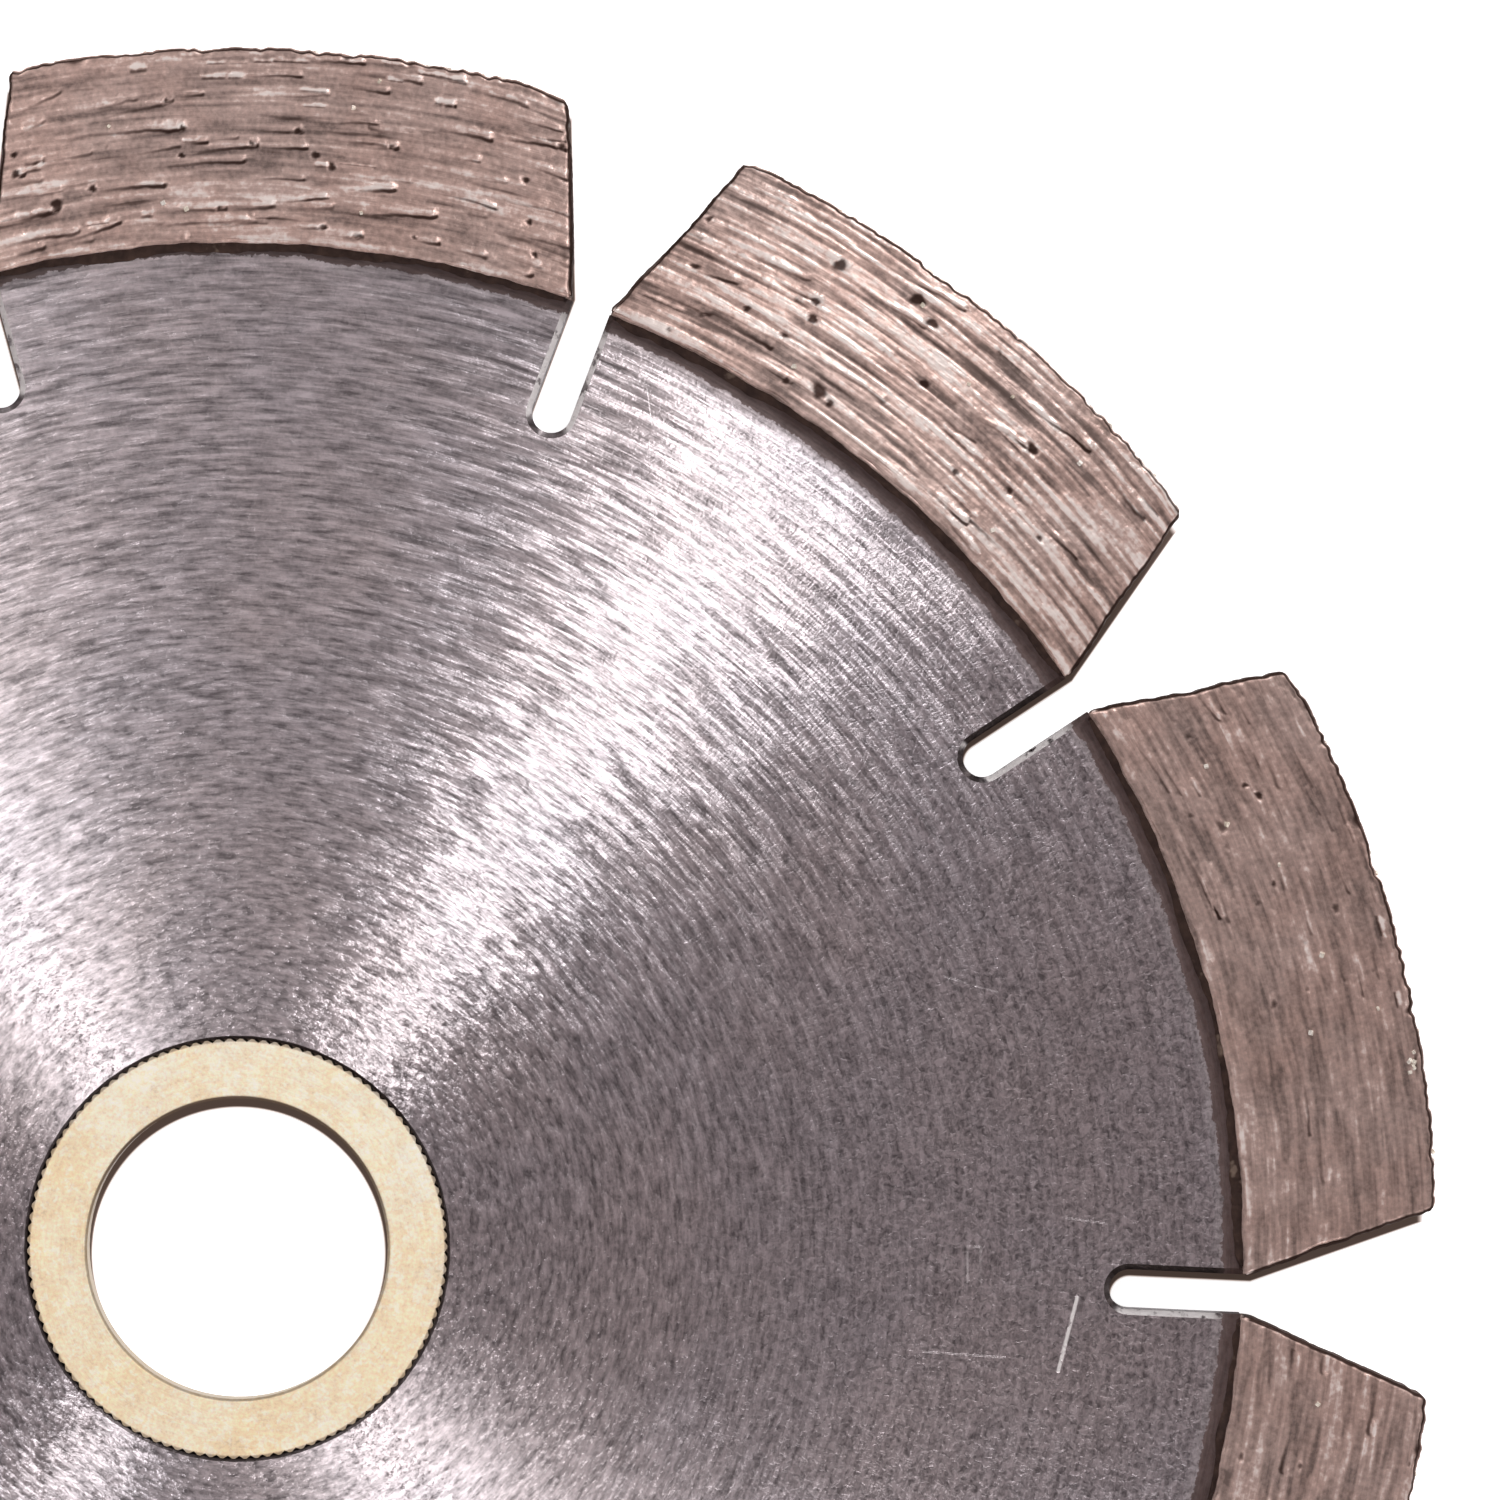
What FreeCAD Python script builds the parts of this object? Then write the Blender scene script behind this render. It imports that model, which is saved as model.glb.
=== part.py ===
import FreeCAD, Part
import os
import Sketcher

# Segmented diamond blade, 127 mm (5 in), with its 22.225 mm to 15.875 mm
# reducing bushing.  The blade lies flat: its axis is +Z, the origin is on that
# axis at half thickness, and segment_01 is centred on +Y.  The other segments
# follow clockwise, seen from +Z.  Every length is in millimetres.

os.makedirs("parts", exist_ok=True)
doc = FreeCAD.newDocument("diamond_blade")
V = FreeCAD.Vector

# ---------------------------------------------------------------- dimensions
sheet = doc.addObject("Spreadsheet::Sheet", "Dimensions")
TABLE = [
    ("blade_diameter", 127.0, "outside diameter over the segments"),
    ("core_diameter", 106.2, "steel core, over its rim"),
    ("core_thickness", 4.0, "steel core"),
    ("core_bore", 22.225, "7/8 in bore in the core"),
    ("core_break", 0.2, "chamfer on the rim, filled by the braze"),
    ("slot_break", 0.3, "chamfer on the gullets' edges"),
    ("bore_break", 0.15, "chamfer on the core's bore"),
    ("slot_count", 10, "gullets, one between each pair of segments"),
    ("slot_width", 2.1, "gullet width, 2.7 over its chamfers"),
    ("slot_depth_radius", 46.1, "radius of the gullet's closed end"),
    ("segment_thickness", 6.35, "cutting width"),
    ("segment_root_radius", 53.22, "concave root of a segment"),
    ("segment_root_half", 15.54, "half width at the root corners"),
    ("segment_tip_half", 14.825, "half width at the tip corners"),
    ("segment_corner", 0.35, "radius of the four corners, in plan"),
    ("segment_round", 0.22, "rounding of the side edges"),
    ("braze_angle", 32.8, "arc that one braze seam covers, degrees"),
    ("braze_inner", 52.9, "toe of the fillet on the core's side"),
    ("fillet_rise", 0.32, "height of the fillet above the core's face"),
    ("bushing_tip_radius", 11.09, "over the knurl, 0.0225 clear of the bore"),
    ("bushing_bore", 15.875, "5/8 in arbor bore"),
    ("bushing_thickness", 3.9, "0.05 below the core on each side"),
    ("bushing_bore_break", 0.2, "chamfer on the arbor bore"),
    ("knurl_count", 114, "straight knurl teeth"),
    ("knurl_depth", 0.16, "depth of a knurl groove"),
    ("knurl_groove", 0.46, "width of a knurl groove at the tips"),
]
for row, (alias, value, note) in enumerate(TABLE, start=1):
    sheet.set("A%d" % row, alias)
    sheet.set("B%d" % row, str(value))
    sheet.set("C%d" % row, note)
    sheet.setAlias("B%d" % row, alias)
doc.recompute()
D = {alias: float(value) for alias, value, _ in TABLE}
COUNT = int(D["slot_count"])


# ------------------------------------------------------------------- helpers
def plane(body, role):
    for feature in body.Origin.OriginFeatures:
        if feature.Role == role:
            return feature
    raise RuntimeError("no origin feature " + role)


def new_body(label):
    body = doc.addObject("PartDesign::Body", label)
    body.Label = label
    return body


def new_sketch(body, name, role):
    sketch = body.newObject("Sketcher::SketchObject", name)
    sketch.AttachmentSupport = [(plane(body, role), "")]
    sketch.MapMode = "FlatFace"
    return sketch


def bind(sketch, constraint, expression):
    index = sketch.addConstraint(constraint)
    sketch.setExpression("Constraints[%d]" % index, expression)
    return index


def circle(sketch, radius, expression):
    g = sketch.addGeometry(Part.Circle(V(0, 0, 0), V(0, 0, 1), radius), False)
    sketch.addConstraint(Sketcher.Constraint("Coincident", g, 3, -1, 1))
    bind(sketch, Sketcher.Constraint("Radius", g, radius), expression)
    return g


def pad(body, sketch, name, length, expression):
    feature = body.newObject("PartDesign::Pad", name)
    feature.Profile = sketch
    feature.SideType = "Symmetric"
    feature.Length = length
    feature.setExpression("Length", expression)
    sketch.Visibility = False
    doc.recompute()
    return feature


def edges_on(shape, heights, test):
    names = []
    for i, edge in enumerate(shape.Edges, start=1):
        box = edge.BoundBox
        for z in heights:
            if abs(box.ZMin - z) < 1e-5 and abs(box.ZMax - z) < 1e-5 and test(edge):
                names.append("Edge%d" % i)
    return names


# ---------------------------------------------------------------------- core
# A flat steel disc with the 22.225 mm bore and ten radial gullets, open at the
# rim and closed by a full radius.  Its rim, gullets and bore are deburred.
core = new_body("core")
half_core = D["core_thickness"] / 2.0
sk = new_sketch(core, "core_outline", "XY_Plane")
circle(sk, D["core_diameter"] / 2.0, "Dimensions.core_diameter / 2")
circle(sk, D["core_bore"] / 2.0, "Dimensions.core_bore / 2")
core_disc = pad(core, sk, "core_disc", D["core_thickness"], "Dimensions.core_thickness")

hw = D["slot_width"] / 2.0
y_end = D["slot_depth_radius"] + hw
y_out = D["core_diameter"] / 2.0 + 4.0
sk = new_sketch(core, "slot_outline", "XY_Plane")
g0 = sk.addGeometry(Part.LineSegment(V(-hw, y_out, 0), V(hw, y_out, 0)), False)
g1 = sk.addGeometry(Part.LineSegment(V(hw, y_out, 0), V(hw, y_end, 0)), False)
arc = Part.ArcOfCircle(Part.Circle(V(0, y_end, 0), V(0, 0, 1), hw), 3.141592653589793, 6.283185307179586)
g2 = sk.addGeometry(arc, False)
g3 = sk.addGeometry(Part.LineSegment(V(-hw, y_end, 0), V(-hw, y_out, 0)), False)
sk.addConstraint(Sketcher.Constraint("Coincident", g0, 2, g1, 1))
sk.addConstraint(Sketcher.Constraint("Tangent", g1, 2, g2, 2))
sk.addConstraint(Sketcher.Constraint("Tangent", g3, 1, g2, 1))
sk.addConstraint(Sketcher.Constraint("Coincident", g3, 2, g0, 1))
sk.addConstraint(Sketcher.Constraint("Horizontal", g0))
sk.addConstraint(Sketcher.Constraint("Vertical", g1))
sk.addConstraint(Sketcher.Constraint("PointOnObject", g2, 3, -2))
bind(sk, Sketcher.Constraint("Radius", g2, hw), "Dimensions.slot_width / 2")
bind(sk, Sketcher.Constraint("DistanceY", -1, 1, g2, 3, y_end),
     "Dimensions.slot_depth_radius + Dimensions.slot_width / 2")
bind(sk, Sketcher.Constraint("DistanceY", -1, 1, g0, 1, y_out),
     "Dimensions.core_diameter / 2 + 4")
sk.Visibility = False
doc.recompute()

slot = core.newObject("PartDesign::Pocket", "slot")
slot.Profile = sk
slot.SideType = "Symmetric"
slot.Length = D["core_thickness"] + 2.0
slot.setExpression("Length", "Dimensions.core_thickness + 2")
doc.recompute()

# the gullets stand half a pitch away from the segments
pattern = core.newObject("PartDesign::PolarPattern", "slots")
pattern.Originals = [slot]
pattern.Axis = (plane(core, "Z_Axis"), [""])
pattern.Angle = 360.0
pattern.Occurrences = COUNT
pattern.setExpression("Occurrences", "Dimensions.slot_count")
core.Tip = pattern
doc.recompute()

bore_limit = D["core_bore"] / 2.0 + 0.5
rim_limit = D["core_diameter"] / 2.0 - 0.01


def on_rim(e):
    return min(v.Point.Length for v in e.Vertexes) > rim_limit and min(
        (e.valueAt(t).x ** 2 + e.valueAt(t).y ** 2) ** 0.5
        for t in (e.FirstParameter, (e.FirstParameter + e.LastParameter) / 2.0, e.LastParameter)) > rim_limit


def in_slot(e):
    return max(v.Point.Length for v in e.Vertexes) > bore_limit and not on_rim(e)


def in_bore(e):
    return max(v.Point.Length for v in e.Vertexes) <= bore_limit


slot_edges = edges_on(pattern.Shape, (half_core, -half_core), in_slot)
slot_break = core.newObject("PartDesign::Chamfer", "slot_break")
slot_break.Base = (pattern, slot_edges)
slot_break.Size = D["slot_break"]
slot_break.setExpression("Size", "Dimensions.slot_break")
core.Tip = slot_break
doc.recompute()
rim_edges = edges_on(slot_break.Shape, (half_core, -half_core), on_rim)
rim_break = core.newObject("PartDesign::Chamfer", "rim_break")
rim_break.Base = (slot_break, rim_edges)
rim_break.Size = D["core_break"]
rim_break.setExpression("Size", "Dimensions.core_break")
core.Tip = rim_break
doc.recompute()
bore_edges = edges_on(rim_break.Shape, (half_core, -half_core), in_bore)
bore_break = core.newObject("PartDesign::Chamfer", "bore_break")
bore_break.Base = (rim_break, bore_edges)
bore_break.Size = D["bore_break"]
bore_break.setExpression("Size", "Dimensions.bore_break")
core.Tip = bore_break
core.Placement = FreeCAD.Placement(V(0, 0, 0), FreeCAD.Rotation(V(0, 0, 1), 0.0))
# half a pitch, so that a land and not a gullet stands on +Y
core.setExpression("Placement.Rotation.Angle", "180 deg / Dimensions.slot_count")
doc.recompute()
print("core: chamfered edges", len(slot_edges), "+", len(rim_edges), "+", len(bore_edges))


# ------------------------------------------------------------ arbor bushing
# A ring that reduces the 22.225 mm bore to 15.875 mm.  Its straight-knurled
# rim grips the core's bore; it is pushed out along the axis.
bushing = new_body("arbor_bushing")
sk = new_sketch(bushing, "bushing_outline", "XY_Plane")
circle(sk, D["bushing_tip_radius"], "Dimensions.bushing_tip_radius")
circle(sk, D["bushing_bore"] / 2.0, "Dimensions.bushing_bore / 2")
ring = pad(bushing, sk, "ring", D["bushing_thickness"], "Dimensions.bushing_thickness")

half_bushing = D["bushing_thickness"] / 2.0
limit = D["bushing_bore"] / 2.0 + 0.3
arbor_edges = edges_on(ring.Shape, (half_bushing, -half_bushing),
                       lambda e: max(v.Point.Length for v in e.Vertexes) < limit + 1.0)
arbor_break = bushing.newObject("PartDesign::Chamfer", "arbor_bore_break")
arbor_break.Base = (ring, arbor_edges)
arbor_break.Size = D["bushing_bore_break"]
arbor_break.setExpression("Size", "Dimensions.bushing_bore_break")
bushing.Tip = arbor_break
doc.recompute()

gw = D["knurl_groove"] / 2.0
tip = D["bushing_tip_radius"]
root = tip - D["knurl_depth"]
over = tip + 0.2
# the flanks run on past the tips, so the groove is open outside the ring
wide = gw * (over - root) / (tip - root)
sk = new_sketch(bushing, "knurl_groove", "XY_Plane")
a = sk.addGeometry(Part.LineSegment(V(0, root, 0), V(wide, over, 0)), False)
b = sk.addGeometry(Part.LineSegment(V(wide, over, 0), V(-wide, over, 0)), False)
c = sk.addGeometry(Part.LineSegment(V(-wide, over, 0), V(0, root, 0)), False)
sk.addConstraint(Sketcher.Constraint("Coincident", a, 2, b, 1))
sk.addConstraint(Sketcher.Constraint("Coincident", b, 2, c, 1))
sk.addConstraint(Sketcher.Constraint("Coincident", c, 2, a, 1))
sk.addConstraint(Sketcher.Constraint("PointOnObject", a, 1, -2))
sk.addConstraint(Sketcher.Constraint("Horizontal", b))
bind(sk, Sketcher.Constraint("DistanceY", -1, 1, a, 1, root),
     "Dimensions.bushing_tip_radius - Dimensions.knurl_depth")
bind(sk, Sketcher.Constraint("DistanceY", -1, 1, a, 2, over),
     "Dimensions.bushing_tip_radius + 0.2")
bind(sk, Sketcher.Constraint("DistanceX", -1, 1, a, 2, wide),
     "Dimensions.knurl_groove / 2 * (0.2 + Dimensions.knurl_depth) / Dimensions.knurl_depth")
bind(sk, Sketcher.Constraint("DistanceX", b, 2, -1, 1, wide),
     "Dimensions.knurl_groove / 2 * (0.2 + Dimensions.knurl_depth) / Dimensions.knurl_depth")
sk.Visibility = False
doc.recompute()
groove = bushing.newObject("PartDesign::Pocket", "groove")
groove.Profile = sk
groove.SideType = "Symmetric"
groove.Length = D["bushing_thickness"] + 2.0
groove.setExpression("Length", "Dimensions.bushing_thickness + 2")
doc.recompute()
knurl = bushing.newObject("PartDesign::PolarPattern", "knurl")
knurl.Originals = [groove]
knurl.Axis = (plane(bushing, "Z_Axis"), [""])
knurl.Angle = 360.0
knurl.Occurrences = int(D["knurl_count"])
knurl.setExpression("Occurrences", "Dimensions.knurl_count")
bushing.Tip = knurl
bushing.Placement = FreeCAD.Placement(V(0, 0, 0), FreeCAD.Rotation(V(0, 0, 1), 0.0))
doc.recompute()


# ------------------------------------------------------------------ segments
# A sintered abrasive block: concave root, convex tip on the blade's outside
# diameter, and straight ends that draw in slightly towards the tip.
def arc_xy(radius, half):
    """Circle of the given radius about the origin, from +half to -half."""
    y = (radius * radius - half * half) ** 0.5
    return y


def make_segment(index):
    body = new_body("segment_%02d" % (index + 1))
    outer = D["blade_diameter"] / 2.0
    inner = D["segment_root_radius"]
    rx, tx = D["segment_root_half"], D["segment_tip_half"]
    ry, ty = arc_xy(inner, rx), arc_xy(outer, tx)
    sketch = new_sketch(body, "segment_outline_%02d" % (index + 1), "XY_Plane")
    root_arc = Part.Arc(V(rx, ry, 0), V(0, inner, 0), V(-rx, ry, 0))
    tip_arc = Part.Arc(V(tx, ty, 0), V(0, outer, 0), V(-tx, ty, 0))
    r = sketch.addGeometry(root_arc, False)
    o = sketch.addGeometry(tip_arc, False)
    right = sketch.addGeometry(Part.LineSegment(V(rx, ry, 0), V(tx, ty, 0)), False)
    left = sketch.addGeometry(Part.LineSegment(V(-rx, ry, 0), V(-tx, ty, 0)), False)
    sketch.addConstraint(Sketcher.Constraint("Coincident", r, 3, -1, 1))
    sketch.addConstraint(Sketcher.Constraint("Coincident", o, 3, -1, 1))
    sketch.addConstraint(Sketcher.Constraint("Coincident", right, 1, r, 1))
    sketch.addConstraint(Sketcher.Constraint("Coincident", right, 2, o, 1))
    sketch.addConstraint(Sketcher.Constraint("Coincident", left, 1, r, 2))
    sketch.addConstraint(Sketcher.Constraint("Coincident", left, 2, o, 2))
    bind(sketch, Sketcher.Constraint("Radius", r, inner), "Dimensions.segment_root_radius")
    bind(sketch, Sketcher.Constraint("Radius", o, outer), "Dimensions.blade_diameter / 2")
    bind(sketch, Sketcher.Constraint("DistanceX", -1, 1, right, 1, rx), "Dimensions.segment_root_half")
    bind(sketch, Sketcher.Constraint("DistanceX", left, 1, -1, 1, rx), "Dimensions.segment_root_half")
    bind(sketch, Sketcher.Constraint("DistanceX", -1, 1, right, 2, tx), "Dimensions.segment_tip_half")
    bind(sketch, Sketcher.Constraint("DistanceX", left, 2, -1, 1, tx), "Dimensions.segment_tip_half")
    block = pad(body, sketch, "block_%02d" % (index + 1), D["segment_thickness"],
                "Dimensions.segment_thickness")
    upright = ["Edge%d" % i for i, e in enumerate(block.Shape.Edges, start=1)
               if e.BoundBox.ZLength > 1.0 and e.BoundBox.XLength < 1e-4 and e.BoundBox.YLength < 1e-4]
    corners = body.newObject("PartDesign::Fillet", "corners_%02d" % (index + 1))
    corners.Base = (block, upright)
    corners.Radius = D["segment_corner"]
    corners.setExpression("Radius", "Dimensions.segment_corner")
    body.Tip = corners
    doc.recompute()
    half = D["segment_thickness"] / 2.0
    around = edges_on(corners.Shape, (half, -half), lambda e: True)
    rounding = body.newObject("PartDesign::Fillet", "rounding_%02d" % (index + 1))
    rounding.Base = (corners, around)
    rounding.Radius = D["segment_round"]
    rounding.setExpression("Radius", "Dimensions.segment_round")
    body.Tip = rounding
    body.Placement = FreeCAD.Placement(V(0, 0, 0), FreeCAD.Rotation(V(0, 0, 1), -0.001))
    body.setExpression("Placement.Rotation.Angle",
                       "%d * 360 deg / Dimensions.slot_count" % (COUNT - index if index else 0))
    doc.recompute()
    return body, len(upright), len(around)


# --------------------------------------------------------------- braze seams
# The silver-braze seam of one segment: a thin layer between the core's rim and
# the segment's root, which fills the rim's chamfer and ends in a small fillet
# against the segment.  The fillet's toe stays on the chamfer's edge, so the
# core's face is clear for a flange.
def make_braze(index):
    body = new_body("braze_%02d" % (index + 1))
    rim = D["core_diameter"] / 2.0
    face = D["core_thickness"] / 2.0
    outer = D["segment_root_radius"]
    toe = D["braze_inner"]
    brk = D["core_break"]
    top = face + D["fillet_rise"]
    points = [(outer, -top), (outer, top), (toe, face), (rim, face - brk), (rim, brk - face), (toe, -face)]
    sketch = new_sketch(body, "braze_section_%02d" % (index + 1), "YZ_Plane")
    lines = []
    for k, (u, w) in enumerate(points):
        u2, w2 = points[(k + 1) % len(points)]
        lines.append(sketch.addGeometry(Part.LineSegment(V(u, w, 0), V(u2, w2, 0)), False))
    for k in range(len(lines)):
        sketch.addConstraint(Sketcher.Constraint("Coincident", lines[k], 2, lines[(k + 1) % len(lines)], 1))
    exprs = [
        ("Dimensions.segment_root_radius", "Dimensions.core_thickness / 2 + Dimensions.fillet_rise"),
        ("Dimensions.segment_root_radius", "Dimensions.core_thickness / 2 + Dimensions.fillet_rise"),
        ("Dimensions.braze_inner", "Dimensions.core_thickness / 2"),
        ("Dimensions.core_diameter / 2", "Dimensions.core_thickness / 2 - Dimensions.core_break"),
        ("Dimensions.core_diameter / 2", "Dimensions.core_thickness / 2 - Dimensions.core_break"),
        ("Dimensions.braze_inner", "Dimensions.core_thickness / 2"),
    ]
    for k, (ex, ey) in enumerate(exprs):
        u, w = points[k]
        bind(sketch, Sketcher.Constraint("DistanceX", -1, 1, lines[k], 1, u), ex)
        if w > 0:
            bind(sketch, Sketcher.Constraint("DistanceY", -1, 1, lines[k], 1, w), ey)
        else:
            bind(sketch, Sketcher.Constraint("DistanceY", lines[k], 1, -1, 1, -w), ey)
    sketch.Visibility = False
    doc.recompute()
    seam = body.newObject("PartDesign::Revolution", "seam_%02d" % (index + 1))
    seam.Profile = sketch
    seam.ReferenceAxis = (plane(body, "Z_Axis"), [""])
    seam.Midplane = True
    seam.Angle = D["braze_angle"]
    seam.setExpression("Angle", "Dimensions.braze_angle * 1 deg")
    body.Placement = FreeCAD.Placement(V(0, 0, 0), FreeCAD.Rotation(V(0, 0, 1), -0.001))
    body.setExpression("Placement.Rotation.Angle",
                       "%d * 360 deg / Dimensions.slot_count" % (COUNT - index if index else 0))
    doc.recompute()
    return body


segments = [make_segment(i) for i in range(COUNT)]
brazes = [make_braze(i) for i in range(COUNT)]
doc.recompute()
print("segment edges rounded:", segments[0][1], "corners,", segments[0][2], "side edges")

# ---------------------------------------------------------------- self check
subparts = [core, bushing] + [s[0] for s in segments] + brazes
problems = []
for obj in doc.Objects:
    state = [str(x) for x in obj.State]
    if any(("Invalid" in x) or ("Error" in x) for x in state):
        problems.append("%s: %s" % (obj.Name, state))
for body in subparts:
    shape = body.Shape
    if shape.isNull() or not shape.isValid():
        problems.append("%s: null or invalid shape" % body.Label)
    elif len(shape.Solids) != 1:
        problems.append("%s: %d solids" % (body.Label, len(shape.Solids)))

PI = 3.141592653589793
disc = PI * (D["core_diameter"] ** 2 - D["core_bore"] ** 2) / 4.0 * D["core_thickness"]
slot_len = D["core_diameter"] / 2.0 - D["slot_depth_radius"] - hw
slot_volume = (slot_len * 2 * hw + PI * hw * hw / 2.0) * D["core_thickness"]
expected = disc - COUNT * slot_volume
if not expected * 0.995 < core.Shape.Volume < expected * 1.002:
    problems.append("core volume %.1f, expected about %.1f" % (core.Shape.Volume, expected))
ring_volume = PI * (tip ** 2 - D["bushing_bore"] ** 2 / 4.0) * D["bushing_thickness"]
grooves = int(D["knurl_count"]) * gw * D["knurl_depth"] * D["bushing_thickness"]
expected = ring_volume - grooves
if not expected * 0.985 < bushing.Shape.Volume < expected * 1.005:
    problems.append("bushing volume %.1f, expected about %.1f" % (bushing.Shape.Volume, expected))
if problems:
    raise RuntimeError("; ".join(problems))

total = 0.0
for body in subparts:
    box = body.Shape.BoundBox
    total += body.Shape.Volume
    print("%-14s volume %9.2f  x %7.2f..%7.2f  y %7.2f..%7.2f  z %6.3f..%6.3f"
          % (body.Label, body.Shape.Volume, box.XMin, box.XMax, box.YMin, box.YMax, box.ZMin, box.ZMax))
print("sub-parts:", len(subparts), " total volume %.1f" % total)
for body in subparts:
    body.Shape.exportStep(os.path.join("parts", body.Label + ".step"))
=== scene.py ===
import math

import bpy
import numpy as np
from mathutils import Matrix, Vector


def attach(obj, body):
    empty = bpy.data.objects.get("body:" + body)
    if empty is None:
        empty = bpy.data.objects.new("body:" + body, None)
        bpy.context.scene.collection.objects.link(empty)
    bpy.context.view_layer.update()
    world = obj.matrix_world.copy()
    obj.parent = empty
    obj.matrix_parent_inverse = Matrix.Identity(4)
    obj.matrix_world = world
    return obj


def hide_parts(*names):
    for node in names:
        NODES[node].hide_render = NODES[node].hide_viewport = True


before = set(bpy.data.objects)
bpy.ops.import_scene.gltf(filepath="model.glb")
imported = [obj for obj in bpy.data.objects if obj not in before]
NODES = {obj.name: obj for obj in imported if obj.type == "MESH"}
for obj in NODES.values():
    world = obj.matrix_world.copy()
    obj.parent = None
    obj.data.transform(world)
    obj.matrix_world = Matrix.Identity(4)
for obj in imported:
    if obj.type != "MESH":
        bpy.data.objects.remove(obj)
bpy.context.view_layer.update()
MM = 0.001

# ------------------------------------------------------------------ geometry
# The same numbers as the CAD source, in millimetres.
R_RIM = 53.10          # steel core
Z_FACE = 2.0
R_ROOT = 53.22         # segment root
R_TIP = 63.5
W_ROOT, W_TIP = 15.54, 14.825
Z_SEG = 3.175
COUNT = 10


# -------------------------------------------------------------------- camera
cam_data = bpy.data.cameras.new("camera")
cam = bpy.data.objects.new("camera", cam_data)
bpy.context.scene.collection.objects.link(cam)
cam_data.lens = 400.0
cam_data.sensor_width = 36.0
cam_data.clip_start = 0.01
cam_data.clip_end = 100.0
cam.location = (25.852 * MM, 27.538 * MM, 882.0 * MM)
cam.rotation_euler = (0.0, 0.0, math.radians(2.6))
bpy.context.scene.camera = cam


# --------------------------------------------------------- stage and lights
def area(name, azimuth, elevation, distance, size, power, color=(1, 1, 1), target=(0.0, 0.0, 0.0)):
    """A rectangular soft light. azimuth is clockwise from +Y, seen from above; size is (across, up)."""
    a, e = math.radians(azimuth), math.radians(elevation)
    way = Vector((math.sin(a) * math.cos(e), math.cos(a) * math.cos(e), math.sin(e)))
    data = bpy.data.lights.new(name, "AREA")
    data.shape = "RECTANGLE"
    data.size, data.size_y = size
    data.energy = power
    data.color = color
    light = bpy.data.objects.new(name, data)
    bpy.context.scene.collection.objects.link(light)
    light.location = Vector(target) + way * distance
    light.rotation_mode = "QUATERNION"
    light.rotation_quaternion = (-way).to_track_quat("-Z", "Y")
    return light


LIGHT_A = area("key_right", 31.0, 47.0, 0.62, (0.03, 0.22), 1.30, (1.0, 0.99, 1.0))
LIGHT_B = area("key_left", -42.9, 60.0, 0.62, (0.06, 0.22), 0.575, (1.0, 0.985, 0.99))
LIGHT_D = area("key_low", 145.6, 60.0, 0.62, (0.06, 0.22), 0.575, (1.0, 0.985, 0.99))
LIGHT_C = area("fill_top", 5.0, 70.0, 0.9, (0.5, 0.4), 0.29, (1.0, 0.97, 0.97))

world = bpy.data.worlds.new("studio")
bpy.context.scene.world = world
world.use_nodes = True
bg = world.node_tree.nodes["Background"]
bg.inputs["Color"].default_value = (1.0, 0.85, 0.865, 1.0)
bg.inputs["Strength"].default_value = 0.230

bpy.context.scene.view_settings.view_transform = "Standard"
bpy.context.scene.view_settings.look = "None"


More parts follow.
